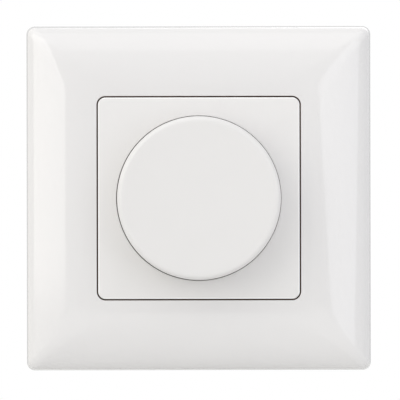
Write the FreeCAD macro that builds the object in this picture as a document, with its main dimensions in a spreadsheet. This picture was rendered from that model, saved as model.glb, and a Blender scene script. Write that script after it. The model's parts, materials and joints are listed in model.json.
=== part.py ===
import FreeCAD, Part
import math
import os

import Sketcher

# Rotary dimmer for a 60 mm flush wall box. X is to the fitter's right, Z is up, Y goes into the wall,
# and Y = 0 is the wall. A "level" is a distance out of the wall, so a point at level L lies at Y = -L,
# and pieces inside the box have levels below zero. All lengths are in millimetres.

SIZES = {
    # clearances that several pieces share
    "running_clearance": 0.05,
    "fixing_clearance": 0.1,
    "push_travel": 1.5,
    # steel support plate
    "support_side": 71.0,
    "support_corner": 4.0,
    "support_thickness": 1.0,
    "box_screw_spacing": 60.0,
    "box_slot_radius": 1.75,
    "box_slot_length": 6.0,
    "corner_hole_reach": 30.0,
    "corner_hole_radius": 1.6,
    "notch_width": 9.0,
    "notch_depth": 1.5,
    "plate_screw_margin": 2.6,
    "plate_screw_radius": 1.2,
    "plate_screw_length": 3.3,
    "plate_screw_head_radius": 2.2,
    "plate_screw_head_height": 1.2,
    "screw_slot_width": 0.7,
    "screw_slot_depth": 0.6,
    # insulating housing in two halves
    "housing_half": 24.0,
    "housing_flat": 8.0,
    "housing_wall": 1.8,
    "housing_front_depth": 9.0,
    "housing_back_depth": 14.0,
    "housing_back_round": 1.2,
    "dome_inset": 2.0,
    "dome_gap": 0.5,
    "dome_level": 3.2,
    "dome_wall": 1.6,
    "boss_radius": 8.0,
    "boss_height": 1.3,
    "screw_post_radius": 2.4,
    "lip_height": 1.4,
    "snap_width": 10.0,
    "snap_length": 5.0,
    "snap_window_width": 6.0,
    "snap_window_height": 2.0,
    "snap_edge": 1.0,
    # potentiometer with its threaded bush
    "bush_radius": 5.0,
    "bush_overrun": 0.6,
    "bush_flange_radius": 7.0,
    "bush_flange_thickness": 1.0,
    "bush_chamfer": 0.4,
    "pot_side": 17.0,
    "pot_corner": 1.0,
    "pot_depth": 4.6,
    "pot_wall": 0.6,
    "wafer_thickness": 1.2,
    "wiper_radius": 6.6,
    "wiper_clearance": 0.4,
    "pin_radius": 0.45,
    "pot_pin_pitch": 5.0,
    "pot_pin_row": 6.5,
    "pin_overrun": 0.6,
    # spindle
    "spindle_radius": 3.0,
    "spindle_flat": 1.5,
    "spindle_overrun": 0.6,
    "spindle_chamfer": 0.4,
    "collar_radius": 4.0,
    "collar_thickness": 1.0,
    "collar_gap": 0.3,
    # push switch behind the potentiometer
    "switch_width": 14.0,
    "switch_length": 21.0,
    "switch_well_radius": 4.2,
    "switch_floor": 1.3,
    "switch_pin_row": 9.2,
    "switch_pin_pitch": 5.0,
    "plunger_radius": 1.9,
    "plunger_head_radius": 3.6,
    "plunger_head_thickness": 0.8,
    "plunger_reach": 5.2,
    "spring_length": 3.5,
    "spring_radius": 2.9,
    "spring_wire": 0.4,
    "spring_turns": 3.5,
    # circuit boards, and the half width of the board that the sizes of what is on it are given for
    "standard_board_half": 21.8,
    "control_board_thickness": 1.2,
    "board_gap": 0.4,
    "board_hole_radius": 4.0,
    "power_board_thickness": 1.6,
    "power_board_gap": 0.4,
    "board_post_height": 1.6,
    "board_post_radius": 2.0,
    "board_post_reach": 14.0,
    "board_post_low": -8.5,
    # parts on the boards
    "choke_radius": 4.9,
    "choke_bore": 3.0,
    "choke_height": 5.0,
    "choke_from_wall": 8.2,
    "choke_up": 6.0,
    "winding_thickness": 0.7,
    "film_width": 13.0,
    "film_length": 6.0,
    "film_height": 11.0,
    "film_across": -5.0,
    "film_from_wall": 2.8,
    "can_radius": 3.15,
    "can_height": 9.0,
    "can_across": 6.3,
    "can_from_wall": 3.25,
    "can_pitch": 6.6,
    "component_round": 0.4,
    "varistor_radius": 4.0,
    "varistor_thickness": 3.6,
    "varistor_chamfer": 0.8,
    "varistor_lift": 0.8,
    "varistor_across": -12.5,
    "varistor_up": -5.5,
    "lead_radius": 0.35,
    "transistor_width": 7.6,
    "transistor_thickness": 4.4,
    "transistor_height": 9.5,
    "transistor_lift": 1.0,
    "transistor_pitch": 8.2,
    "heat_plate_thickness": 1.5,
    "heat_plate_length": 16.0,
    "heat_plate_height": 11.0,
    "heat_plate_from_wall": 1.2,
    "header_across": 10.8,
    "header_width": 2.5,
    "header_height": 2.5,
    "header_pitch": 2.54,
    "header_pin": 0.64,
    "chip_width": 5.0,
    "chip_length": 6.2,
    "chip_height": 1.6,
    "chip_lead": 0.4,
    "chip_lead_length": 1.0,
    "chip_lead_thickness": 0.3,
    "chip_lead_pitch": 1.27,
    # screw terminals along the bottom
    "terminal_pitch": 8.4,
    "terminal_width": 7.0,
    "terminal_height": 9.9,
    "terminal_depth": 11.0,
    "terminal_drop": 12.4,
    "terminal_side_gap": 0.3,
    "notch_wall": 1.2,
    "wire_drop": 4.0,
    "wire_radius": 1.9,
    "wire_depth": 6.0,
    "cage_side": 5.0,
    "cage_depth": 4.4,
    "tail_width": 2.2,
    "tail_thickness": 0.8,
    "tail_overlap": 1.9,
    "cage_wall": 0.4,
    "clamp_screw_radius": 1.25,
    "clamp_screw_head_radius": 1.7,
    "clamp_screw_head_height": 1.6,
    "clamp_screw_sink": 0.3,
    "clamp_screw_back": 0.1,
    # square cover frame, a domed hollow shell
    "frame_side": 85.0,
    "frame_draft": 0.3,
    "frame_edge_height": 3.5,
    "frame_front_level": 9.5,
    "frame_wall": 2.0,
    "frame_edge_corner": 2.0,
    "frame_front_corner": 12.0,
    "frame_inner_corner": 0.6,
    "frame_opening": 50.3,
    "frame_opening_corner": 2.15,
    "ledge_width": 1.95,
    "ledge_level": 5.0,
    "ledge_thickness": 1.2,
    "frame_rib_thickness": 1.2,
    "frame_rib_level": 1.6,
    "frame_rib_pitch": 18.0,
    # centre plate with its round well
    "plate_gap": 0.3,
    "plate_proud": 0.35,
    "plate_wall": 1.8,
    "plate_edge_round": 0.35,
    "well_wall": 1.6,
    "well_floor": 2.0,
    "well_hole_gap": 0.2,
    "washer_radius": 7.6,
    "washer_thickness": 0.5,
    "washer_tooth_depth": 1.0,
    "washer_tooth_gap": 0.8,
    "nut_flats": 14.0,
    "nut_thickness": 2.4,
    "nut_chamfer": 1.2,
    # knob
    "knob_radius": 20.15,
    "knob_gap": 0.2,
    "knob_height": 10.0,
    "knob_floor_gap": 0.6,
    "knob_wall": 1.9,
    "knob_edge_round": 1.3,
    "hub_radius": 5.0,
    "hub_gap": 0.3,
    "hub_cap": 0.95,
    "knob_rib_thickness": 1.2,
    "knob_rib_drop": 1.6,
    "clip_slot": 0.7,
    "clip_thickness": 0.4,
    "clip_bow": 0.15,
    "clip_width": 3.2,
}

# angles round the quarter ellipse that gives the frame its dome, and where its ribs meet it
DOME_ANGLES = range(0, 91, 10)
RIB_ANGLES = (0, 20, 45, 70, 90)
CORNERS = ((1, 1), (-1, 1), (-1, -1), (1, -1))
ROW_OF_TWO = (-0.5, 0.5)
ROW_OF_THREE = (-1, 0, 1)
ROW_OF_FOUR = (-1.5, -0.5, 0.5, 1.5)
WASHER_TEETH = 12
KNOB_RIBS = 6
WINDING_DEGREES = 150
# cutting outlines run past the edges they cut by this factor
PAST_EDGE = 1.2
DIAGONAL = math.sqrt(0.5)
# edges within this distance of a level count as lying at it
LEVEL_TOLERANCE = 1e-4

document = FreeCAD.newDocument("Dimmer")
sheet = document.addObject("Spreadsheet::Sheet", "Sizes")
for row, (alias, length) in enumerate(SIZES.items(), start=1):
    sheet.set(f"A{row}", alias)
    sheet.set(f"B{row}", str(length))
    sheet.setAlias(f"B{row}", alias)
document.recompute()


class Size:
    """A length with the expression that gives it from the spreadsheet."""

    def __init__(self, value, text):
        self.value = float(value)
        self.text = text

    def __add__(self, other):
        other = as_size(other)
        return Size(self.value + other.value, f"({self.text} + {other.text})")

    def __sub__(self, other):
        other = as_size(other)
        return Size(self.value - other.value, f"({self.text} - {other.text})")

    def __mul__(self, factor):
        factor = as_size(factor)
        return Size(self.value * factor.value, f"({self.text} * {factor.text})")

    def __truediv__(self, divisor):
        divisor = as_size(divisor)
        return Size(self.value / divisor.value, f"({self.text} / {divisor.text})")

    def __neg__(self):
        return Size(-self.value, f"(0 - {self.text})")


def as_size(number):
    return number if isinstance(number, Size) else Size(number, f"{number:.9f}")


class Sheet:
    """The spreadsheet's lengths, each under its alias."""

    def __getattr__(self, alias):
        return Size(sheet.get(alias), f"Sizes.{alias}")


size = Sheet()
ZERO = as_size(0)
NODES = []


def new_body(name):
    body = document.addObject("PartDesign::Body", name)
    body.Label = name
    NODES.append(body)
    return body


def origin_feature(body, role):
    return next(item for item in body.Origin.OriginFeatures if item.Role == role)


def new_sketch(body, plane="XZ_Plane", level=ZERO):
    """An empty sketch, on the wall plane moved out to a level unless another plane is named."""
    sketch = body.newObject("Sketcher::SketchObject", "Sketch")
    sketch.AttachmentSupport = [(origin_feature(body, plane), "")]
    sketch.MapMode = "FlatFace"
    sketch.setExpression("AttachmentOffset.Base.z", as_size(level).text)
    return sketch


def fix(sketch, kind, *arguments):
    """Adds a dimension whose last argument is a Size, and ties it to the spreadsheet."""
    length = as_size(arguments[-1])
    index = sketch.addConstraint(Sketcher.Constraint(kind, *arguments[:-1], length.value))
    sketch.setExpression(f"Constraints[{index}]", length.text)


def place(sketch, edge, end, across, up):
    """Fixes a point of a sketch by its distances from the sketch's origin."""
    fix(sketch, "DistanceX", -1, 1, edge, end, across)
    fix(sketch, "DistanceY", -1, 1, edge, end, up)


def point(across, up):
    return FreeCAD.Vector(as_size(across).value, as_size(up).value, 0)


def line(sketch, start, end):
    return sketch.addGeometry(Part.LineSegment(point(*start), point(*end)), False)


def arc(sketch, centre, radius, start_degrees, end_degrees):
    ring = Part.Circle(point(*centre), FreeCAD.Vector(0, 0, 1), radius.value)
    turn = (math.radians(start_degrees), math.radians(end_degrees))
    return sketch.addGeometry(Part.ArcOfCircle(ring, *turn), False)


def outline(sketch, points):
    """A closed outline of straight edges through points given by their sizes."""
    edges = [line(sketch, start, points[(index + 1) % len(points)]) for index, start in enumerate(points)]
    for index, edge in enumerate(edges):
        following = edges[(index + 1) % len(edges)]
        sketch.addConstraint(Sketcher.Constraint("Coincident", edge, 2, following, 1))
        place(sketch, edge, 1, *points[index])


def rectangle(sketch, left, right, bottom, top):
    outline(sketch, [(left, bottom), (right, bottom), (right, top), (left, top)])


def circle(sketch, radius, across=ZERO, up=ZERO):
    ring = Part.Circle(point(across, up), FreeCAD.Vector(0, 0, 1), radius.value)
    edge = sketch.addGeometry(ring, False)
    fix(sketch, "Radius", edge, radius)
    place(sketch, edge, 3, across, up)


def rounded_square(sketch, half, radius):
    """A square of the given half width about the axis, with rounded corners."""
    core = half - radius
    corners = [(core, core), (-core, core), (-core, -core), (core, -core)]
    sides = [
        ((half, -core), (half, core)),
        ((core, half), (-core, half)),
        ((-half, core), (-half, -core)),
        ((-core, -half), (core, -half)),
    ]
    edges = []
    for index, (corner, side) in enumerate(zip(corners, sides)):
        edges.append(line(sketch, *side))
        edges.append(arc(sketch, corner, radius, 90 * index, 90 * index + 90))
    for index in range(0, 8, 2):
        side, corner, following = edges[index], edges[index + 1], edges[(index + 2) % 8]
        sketch.addConstraint(Sketcher.Constraint("Tangent", side, 2, corner, 1))
        sketch.addConstraint(Sketcher.Constraint("Tangent", corner, 2, following, 1))
        kind = "Horizontal" if index % 4 else "Vertical"
        sketch.addConstraint(Sketcher.Constraint(kind, side))
        if index:
            sketch.addConstraint(Sketcher.Constraint("Equal", edges[1], corner))
    fix(sketch, "Radius", edges[1], radius)
    place(sketch, edges[1], 3, core, core)
    place(sketch, edges[5], 3, -core, -core)


def slot(sketch, length, radius, across, up, upright):
    """A slot with round ends about a centre, along X or, when upright, along Z."""
    reach = length / 2 - radius
    if upright:
        ends = [(across, up + reach), (across, up - reach)]
        first_side = [(across - radius, end[1]) for end in ends]
        second_side = [(across + radius, end[1]) for end in reversed(ends)]
    else:
        ends = [(across - reach, up), (across + reach, up)]
        first_side = [(end[0], up - radius) for end in ends]
        second_side = [(end[0], up + radius) for end in reversed(ends)]
    turn = 0 if upright else 90
    chain = [
        arc(sketch, ends[0], radius, turn, turn + 180),
        line(sketch, *first_side),
        arc(sketch, ends[1], radius, turn + 180, turn + 360),
        line(sketch, *second_side),
    ]
    for index, edge in enumerate(chain):
        sketch.addConstraint(Sketcher.Constraint("Tangent", edge, 2, chain[(index + 1) % 4], 1))
    fix(sketch, "Radius", chain[0], radius)
    place(sketch, chain[0], 3, *ends[0])
    place(sketch, chain[2], 3, *ends[1])


def flatted_circle(sketch, radius, flat):
    """A circle about the axis with a flat on its +X side, as a D-shaped spindle has."""
    half_turn = math.degrees(math.acos(flat.value / radius.value))
    half_chord = math.sqrt(radius.value ** 2 - flat.value ** 2)
    round_side = arc(sketch, (0, 0), radius, half_turn, 360 - half_turn)
    flat_side = line(sketch, (flat, -half_chord), (flat, half_chord))
    sketch.addConstraint(Sketcher.Constraint("Coincident", round_side, 3, -1, 1))
    sketch.addConstraint(Sketcher.Constraint("Coincident", round_side, 2, flat_side, 1))
    sketch.addConstraint(Sketcher.Constraint("Coincident", flat_side, 2, round_side, 1))
    sketch.addConstraint(Sketcher.Constraint("Vertical", flat_side))
    fix(sketch, "Radius", round_side, radius)
    fix(sketch, "DistanceX", -1, 1, flat_side, 1, flat)


def pad(body, sketch, length, inward=False, symmetric=False):
    """Adds material from a sketch, out of the wall unless inward."""
    feature = body.newObject("PartDesign::Pad", "Pad")
    feature.Profile = sketch
    feature.setExpression("Length", as_size(length).text)
    feature.Reversed = inward
    feature.Midplane = symmetric
    return feature


def pocket(body, sketch, depth, outward=False, symmetric=False):
    """Cuts material from a sketch, towards the wall unless outward."""
    feature = body.newObject("PartDesign::Pocket", "Pocket")
    feature.Profile = sketch
    feature.setExpression("Length", as_size(depth).text)
    feature.Reversed = outward
    feature.Midplane = symmetric
    return feature


def turn(body, points, kind="PartDesign::Revolution"):
    """Revolves an outline of (radius, level) points about the knob's axis."""
    sketch = new_sketch(body, "XY_Plane")
    outline(sketch, [(radius, -as_size(level)) for radius, level in points])
    feature = body.newObject(kind, "Turned")
    feature.Profile = sketch
    feature.ReferenceAxis = (origin_feature(body, "Y_Axis"), [""])
    feature.Angle = 360
    return feature


def loft(body, sections, kind="PartDesign::AdditiveLoft"):
    """Joins rounded squares, each given as (half width, corner radius, level)."""
    sketches = []
    for half, radius, level in sections:
        sketch = new_sketch(body, level=level)
        rounded_square(sketch, half, radius)
        sketches.append(sketch)
    feature = body.newObject(kind, "Loft")
    feature.Profile = sketches[0]
    feature.Sections = sketches[1:]
    feature.Ruled = True
    return feature


def repeat_round(body, features, count):
    """Repeats features about the knob's axis."""
    pattern = body.newObject("PartDesign::PolarPattern", "Pattern")
    pattern.Originals = features
    pattern.Axis = (origin_feature(body, "Y_Axis"), [""])
    pattern.Angle = 360
    pattern.Occurrences = count
    body.Tip = pattern
    return pattern


def round_edges(body, chosen, radius, kind="PartDesign::Fillet"):
    """Rounds or chamfers the edges of the body so far that a test picks out."""
    document.recompute()
    base = body.Tip
    names = [f"Edge{index}" for index, edge in enumerate(base.Shape.Edges, start=1) if chosen(edge)]
    feature = body.newObject(kind, "Edges")
    feature.Base = (base, names)
    feature.setExpression("Radius" if kind.endswith("Fillet") else "Size", as_size(radius).text)
    return feature


def at_level(level):
    """Picks the edges that lie wholly at a level."""
    height = -as_size(level).value

    def lies_there(edge):
        box = edge.BoundBox
        return abs(box.YMin - height) < LEVEL_TOLERANCE and abs(box.YMax - height) < LEVEL_TOLERANCE

    return lies_there


# Steel support plate: stamped, with a round cut-out for the housing's dome, four slots at the box
# screw spacing, a hole near each corner, a notch in each side, and holes for the housing's screws.
support_half = size.support_side / 2
support_hole_radius = size.housing_half - size.dome_inset
plate_screw_reach = (support_hole_radius + size.plate_screw_margin) * DIAGONAL
support_plate = new_body("support_plate")
sheet_outline = new_sketch(support_plate)
rounded_square(sheet_outline, support_half, size.support_corner)
pad(support_plate, sheet_outline, size.support_thickness)
punched = new_sketch(support_plate, level=size.support_thickness)
circle(punched, support_hole_radius)
screw_reach = size.box_screw_spacing / 2
slot(punched, size.box_slot_length, size.box_slot_radius, screw_reach, ZERO, False)
slot(punched, size.box_slot_length, size.box_slot_radius, -screw_reach, ZERO, False)
slot(punched, size.box_slot_length, size.box_slot_radius, ZERO, screw_reach, True)
slot(punched, size.box_slot_length, size.box_slot_radius, ZERO, -screw_reach, True)
for across, up in CORNERS:
    circle(punched, size.corner_hole_radius, size.corner_hole_reach * across, size.corner_hole_reach * up)
    screw_hole = size.plate_screw_radius + size.fixing_clearance
    circle(punched, screw_hole, plate_screw_reach * across, plate_screw_reach * up)
pocket(support_plate, punched, size.support_thickness)
notch = new_sketch(support_plate, level=size.support_thickness)
half_notch = size.notch_width / 2
rectangle(notch, -half_notch, half_notch, support_half - size.notch_depth, support_half + size.notch_depth)
repeat_round(support_plate, [pocket(support_plate, notch, size.support_thickness)], 4)

# Front housing: a thermoplastic tray behind the plate, whose round dome stands through the plate
# and carries the bush. Posts inside take the plate's screws and hold the control board, and two
# tongues at the sides snap over hooks on the rear half.
housing_corner = size.housing_half - size.housing_flat
cavity_half = size.housing_half - size.housing_wall
cavity_corner = housing_corner - size.housing_wall
board_half = cavity_half - size.board_gap
board_corner = cavity_corner - size.board_gap
board_share = board_half / size.standard_board_half
split_level = -size.housing_front_depth
dome_radius = support_hole_radius - size.dome_gap
dome_ceiling = size.dome_level - size.dome_wall
boss_level = size.dome_level + size.boss_height
pot_front = dome_ceiling - size.bush_flange_thickness
pot_back = pot_front - size.pot_depth
lip_depth = size.housing_wall / 2
front_housing = new_body("front_housing")
tray = new_sketch(front_housing, level=split_level)
rounded_square(tray, size.housing_half, housing_corner)
pad(front_housing, tray, size.housing_front_depth)
dome = new_sketch(front_housing)
circle(dome, dome_radius)
pad(front_housing, dome, size.dome_level)
boss = new_sketch(front_housing, level=size.dome_level)
circle(boss, size.boss_radius)
pad(front_housing, boss, size.boss_height)
tray_cavity = new_sketch(front_housing, level=split_level)
rounded_square(tray_cavity, cavity_half, cavity_corner)
pocket(front_housing, tray_cavity, size.housing_front_depth - size.housing_wall, outward=True)
dome_cavity = new_sketch(front_housing, level=split_level)
circle(dome_cavity, dome_radius - size.dome_wall)
pocket(front_housing, dome_cavity, dome_ceiling - split_level, outward=True)
rebate = new_sketch(front_housing, level=split_level)
rounded_square(rebate, cavity_half + lip_depth, cavity_corner + lip_depth)
pocket(front_housing, rebate, size.lip_height + size.fixing_clearance, outward=True)
bush_hole = new_sketch(front_housing, level=boss_level)
circle(bush_hole, size.bush_radius + size.running_clearance)
pocket(front_housing, bush_hole, boss_level)
posts = new_sketch(front_housing, level=pot_back)
for across, up in CORNERS:
    circle(posts, size.screw_post_radius, plate_screw_reach * across, plate_screw_reach * up)
pad(front_housing, posts, -pot_back)
post_holes = new_sketch(front_housing)
for across, up in CORNERS:
    post_hole = size.plate_screw_radius + size.running_clearance
    circle(post_holes, post_hole, plate_screw_reach * across, plate_screw_reach * up)
pocket(front_housing, post_holes, size.plate_screw_length + size.fixing_clearance)
tongues = new_sketch(front_housing, level=split_level - size.snap_length)
half_snap = size.snap_width / 2
tongue_inside = cavity_half + lip_depth
rectangle(tongues, tongue_inside, size.housing_half, -half_snap, half_snap)
rectangle(tongues, -size.housing_half, -tongue_inside, -half_snap, half_snap)
pad(front_housing, tongues, size.snap_length)
window_low = -split_level + size.snap_length - size.snap_edge - size.snap_window_height
window_high = window_low + size.snap_window_height
half_window = size.snap_window_width / 2
windows = new_sketch(front_housing, "YZ_Plane")
rectangle(windows, window_low, window_high, -half_window, half_window)
pocket(front_housing, windows, size.housing_half * 2 + size.housing_wall, symmetric=True)

# Four pan-head screws that hold the housing to the support plate.
plate_screws = new_body("plate_screws")
shanks = new_sketch(plate_screws, level=size.support_thickness)
heads = new_sketch(plate_screws, level=size.support_thickness)
slots = new_sketch(plate_screws, level=size.support_thickness + size.plate_screw_head_height)
for across, up in CORNERS:
    place_across = plate_screw_reach * across
    place_up = plate_screw_reach * up
    circle(shanks, size.plate_screw_radius, place_across, place_up)
    circle(heads, size.plate_screw_head_radius, place_across, place_up)
    half_slot = size.screw_slot_width / 2
    slot_reach = size.plate_screw_head_radius * PAST_EDGE
    rectangle(slots, place_across - slot_reach, place_across + slot_reach,
              place_up - half_slot, place_up + half_slot)
pad(plate_screws, shanks, size.support_thickness + size.plate_screw_length, inward=True)
pad(plate_screws, heads, size.plate_screw_head_height)
pocket(plate_screws, slots, size.screw_slot_depth)

# Brass bush: threaded neck, a flange that sits under the dome's ceiling, and a counterbore behind
# in which the spindle's collar travels.
pot_inside = pot_front - size.pot_wall
collar_seat = pot_inside + size.push_travel + size.collar_thickness + size.fixing_clearance
well_floor_front = boss_level + size.well_floor
washer_top = well_floor_front + size.washer_thickness
nut_top = washer_top + size.nut_thickness
bush_top = nut_top + size.bush_overrun
bush_bore = size.spindle_radius + size.running_clearance
counterbore = size.collar_radius + size.collar_gap
spigot = size.bush_radius - size.running_clearance
pot_bush = new_body("pot_bush")
turn(pot_bush, [
    (bush_bore, bush_top),
    (size.bush_radius - size.bush_chamfer, bush_top),
    (size.bush_radius, bush_top - size.bush_chamfer),
    (size.bush_radius, dome_ceiling),
    (size.bush_flange_radius, dome_ceiling),
    (size.bush_flange_radius, pot_front),
    (spigot, pot_front),
    (spigot, pot_inside),
    (counterbore, pot_inside),
    (counterbore, collar_seat),
    (bush_bore, collar_seat),
])

# Potentiometer case: a drawn steel can, open at the back.
pot_half = size.pot_side / 2
pot_case = new_body("pot_case")
can = new_sketch(pot_case, level=pot_back)
rounded_square(can, pot_half, size.pot_corner)
pad(pot_case, can, size.pot_depth)
can_inside = new_sketch(pot_case, level=pot_back)
rounded_square(can_inside, pot_half - size.pot_wall, size.pot_corner - size.pot_wall)
pocket(pot_case, can_inside, size.pot_depth - size.pot_wall, outward=True)
spigot_hole = new_sketch(pot_case, level=pot_front)
circle(spigot_hole, size.bush_radius)
pocket(pot_case, spigot_hole, size.pot_wall)

# Wafer with the resistive track, closing the case, and its three pins through the control board.
wafer_front = pot_back + size.wafer_thickness
board_back = pot_back - size.control_board_thickness
pin_hole = size.pin_radius + size.fixing_clearance
wafer_half = pot_half - size.pot_wall - size.fixing_clearance
pot_wafer = new_body("pot_wafer")
wafer = new_sketch(pot_wafer, level=pot_back)
rounded_square(wafer, wafer_half, size.pot_corner)
circle(wafer, size.spindle_radius + size.wiper_clearance)
pad(pot_wafer, wafer, size.wafer_thickness)
pot_pins = new_body("pot_pins")
pins = new_sketch(pot_pins, level=pot_back)
for step in ROW_OF_THREE:
    circle(pins, size.pin_radius, size.pot_pin_pitch * step, -size.pot_pin_row)
pad(pot_pins, pins, size.control_board_thickness, inward=True)

# Wiper disc: turned by the flat of the spindle, which slides through it when the knob is pushed.
wiper_back = wafer_front + size.wiper_clearance
wiper_front = pot_inside - size.wiper_clearance
wiper_disc = new_body("wiper_disc")
disc = new_sketch(wiper_disc, level=wiper_back)
circle(disc, size.wiper_radius)
pad(wiper_disc, disc, wiper_front - wiper_back)
disc_bore = new_sketch(wiper_disc, level=wiper_front)
flatted_circle(disc_bore, size.spindle_radius + size.running_clearance,
               size.spindle_flat + size.running_clearance)
pocket(wiper_disc, disc_bore, wiper_front - wiper_back)

# Spindle: turned steel with a collar that stops it leaving the bush, and a flat at each end,
# one for the knob and one for the wiper disc.
knob_front = size.frame_front_level + size.plate_proud + size.knob_height
knob_ceiling = knob_front - size.knob_wall
hub_level = bush_top + size.push_travel + size.hub_gap
spindle_top = knob_ceiling - size.hub_cap
spindle_end = pot_back - size.spindle_overrun
collar_top = collar_seat - size.fixing_clearance
collar_bottom = collar_top - size.collar_thickness
wiper_flat_top = wiper_front + size.push_travel + size.fixing_clearance * 2
pot_shaft = new_body("pot_shaft")
turn(pot_shaft, [
    (ZERO, spindle_end),
    (size.spindle_radius - size.spindle_chamfer, spindle_end),
    (size.spindle_radius, spindle_end + size.spindle_chamfer),
    (size.spindle_radius, collar_bottom),
    (size.collar_radius, collar_bottom),
    (size.collar_radius, collar_top),
    (size.spindle_radius, collar_top),
    (size.spindle_radius, spindle_top - size.spindle_chamfer),
    (size.spindle_radius - size.spindle_chamfer, spindle_top),
    (ZERO, spindle_top),
])
for flat_top, flat_bottom in ((spindle_top, hub_level), (wiper_flat_top, spindle_end)):
    flat = new_sketch(pot_shaft, level=flat_top)
    beyond = size.spindle_radius * PAST_EDGE
    rectangle(flat, size.spindle_flat, beyond, -beyond, beyond)
    pocket(pot_shaft, flat, flat_top - flat_bottom)

# Push switch behind the control board: body with a well for the return spring, the plunger that
# the spindle pushes, the spring, and four pins through the board.
head_top = spindle_end - size.fixing_clearance
head_bottom = head_top - size.plunger_head_thickness
spring_seat = head_bottom - size.spring_length
stem_end = head_bottom - size.plunger_reach
stem_bore_end = stem_end - size.push_travel - size.running_clearance
switch_back = stem_bore_end - size.switch_floor
switch_body = new_body("switch_body")
switch_block = new_sketch(switch_body, level=switch_back)
half_width = size.switch_width * board_share / 2
half_length = size.switch_length * board_share / 2
switch_pin_across = size.switch_pin_pitch * board_share
switch_pin_up = size.switch_pin_row * board_share
rectangle(switch_block, -half_width, half_width, -half_length, half_length)
pad(switch_body, switch_block, board_back - switch_back)
spring_well = new_sketch(switch_body, level=board_back)
circle(spring_well, size.switch_well_radius)
pocket(switch_body, spring_well, board_back - spring_seat)
stem_bore = new_sketch(switch_body, level=spring_seat)
circle(stem_bore, size.plunger_radius + size.fixing_clearance)
pocket(switch_body, stem_bore, spring_seat - stem_bore_end)

switch_plunger = new_body("switch_plunger")
turn(switch_plunger, [
    (ZERO, stem_end),
    (size.plunger_radius, stem_end),
    (size.plunger_radius, head_bottom),
    (size.plunger_head_radius, head_bottom),
    (size.plunger_head_radius, head_top),
    (ZERO, head_top),
])

return_spring = new_body("return_spring")
wire_start = spring_seat + size.spring_wire / 2 + size.running_clearance
coil_height = size.spring_length - size.spring_wire - size.running_clearance * 2
wire = new_sketch(return_spring, "XY_Plane")
outline(wire, [
    (size.spring_radius + size.spring_wire / 2 * math.cos(math.radians(60 * step)),
     size.spring_wire / 2 * math.sin(math.radians(60 * step)) - wire_start)
    for step in range(6)
])
coil = return_spring.newObject("PartDesign::AdditiveHelix", "Coil")
coil.Profile = wire
coil.ReferenceAxis = (origin_feature(return_spring, "Y_Axis"), [""])
coil.Mode = "height-turns-growth"
coil.setExpression("Height", coil_height.text)
coil.setExpression("Turns", size.spring_turns.text)
coil.Reversed = True

switch_pins = new_body("switch_pins")
pins = new_sketch(switch_pins, level=board_back)
for across, up in CORNERS:
    circle(pins, size.pin_radius, switch_pin_across * across, switch_pin_up * up)
pad(switch_pins, pins, size.control_board_thickness + size.pin_overrun)

# Control board: carried by the potentiometer and the posts of the front housing.
control_board = new_body("control_board")
board = new_sketch(control_board, level=board_back)
rounded_square(board, board_half, board_corner)
pad(control_board, board, size.control_board_thickness)
board_holes = new_sketch(control_board, level=pot_back)
circle(board_holes, size.board_hole_radius)
for step in ROW_OF_THREE:
    circle(board_holes, pin_hole, size.pot_pin_pitch * step, -size.pot_pin_row)
for across, up in CORNERS:
    circle(board_holes, pin_hole, switch_pin_across * across, switch_pin_up * up)
pocket(control_board, board_holes, size.control_board_thickness)

controller_chip = new_body("controller_chip")
choke_across = size.choke_from_wall * board_share - cavity_half
choke_up = size.choke_up * board_share
chip_package = new_sketch(controller_chip, level=board_back)
half_chip = size.chip_width * board_share / 2
half_chip_length = size.chip_length * board_share / 2
rectangle(chip_package, choke_across - half_chip, choke_across + half_chip,
          choke_up - half_chip_length, choke_up + half_chip_length)
pad(controller_chip, chip_package, size.chip_height, inward=True)
leads = new_sketch(controller_chip, level=board_back)
for step in ROW_OF_FOUR:
    lead_up = choke_up + size.chip_lead_pitch * step
    half_lead = size.chip_lead / 2
    rectangle(leads, choke_across + half_chip, choke_across + half_chip + size.chip_lead_length,
              lead_up - half_lead, lead_up + half_lead)
    rectangle(leads, choke_across - half_chip - size.chip_lead_length, choke_across - half_chip,
              lead_up - half_lead, lead_up + half_lead)
pad(controller_chip, leads, size.chip_lead_thickness, inward=True)

# Rear housing: a deep tray with a lip that enters the front half, recesses and hooks for the snap
# tongues, posts for the power board, and a walled notch along the bottom for the terminals.
back_level = split_level - size.housing_back_depth
back_inside = back_level + size.housing_wall
lip_top = split_level + size.lip_height
recess_half = size.housing_half - lip_depth - size.fixing_clearance
terminal_pitch = size.terminal_pitch * board_share
terminal_width = size.terminal_width * board_share
terminal_top = -size.terminal_drop * board_share
terminal_bottom = terminal_top - size.terminal_height * board_share
terminal_front = back_level + size.terminal_depth
wire_up = terminal_top - size.wire_drop * board_share
cage_back = back_level + size.wire_depth
clamp_level = cage_back + size.cage_depth / 2
rear_housing = new_body("rear_housing")
deep_tray = new_sketch(rear_housing, level=back_level)
rounded_square(deep_tray, size.housing_half, housing_corner)
pad(rear_housing, deep_tray, size.housing_back_depth)
round_edges(rear_housing, at_level(back_level), size.housing_back_round)
lip = new_sketch(rear_housing, level=split_level)
lip_grow = lip_depth - size.fixing_clearance
rounded_square(lip, cavity_half + lip_grow, cavity_corner + lip_grow)
pad(rear_housing, lip, size.lip_height)
deep_cavity = new_sketch(rear_housing, level=lip_top)
rounded_square(deep_cavity, cavity_half, cavity_corner)
pocket(rear_housing, deep_cavity, lip_top - back_inside)
recesses = new_sketch(rear_housing, level=split_level)
recess_side = half_snap + size.fixing_clearance
outside = size.housing_half + size.housing_wall
rectangle(recesses, recess_half, outside, -recess_side, recess_side)
rectangle(recesses, -outside, -recess_half, -recess_side, recess_side)
pocket(rear_housing, recesses, size.snap_length + size.fixing_clearance * 2)
hooks = new_sketch(rear_housing, level=-(window_high - size.fixing_clearance))
hook_side = half_window - size.fixing_clearance
rectangle(hooks, recess_half, size.housing_half - size.fixing_clearance, -hook_side, hook_side)
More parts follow.
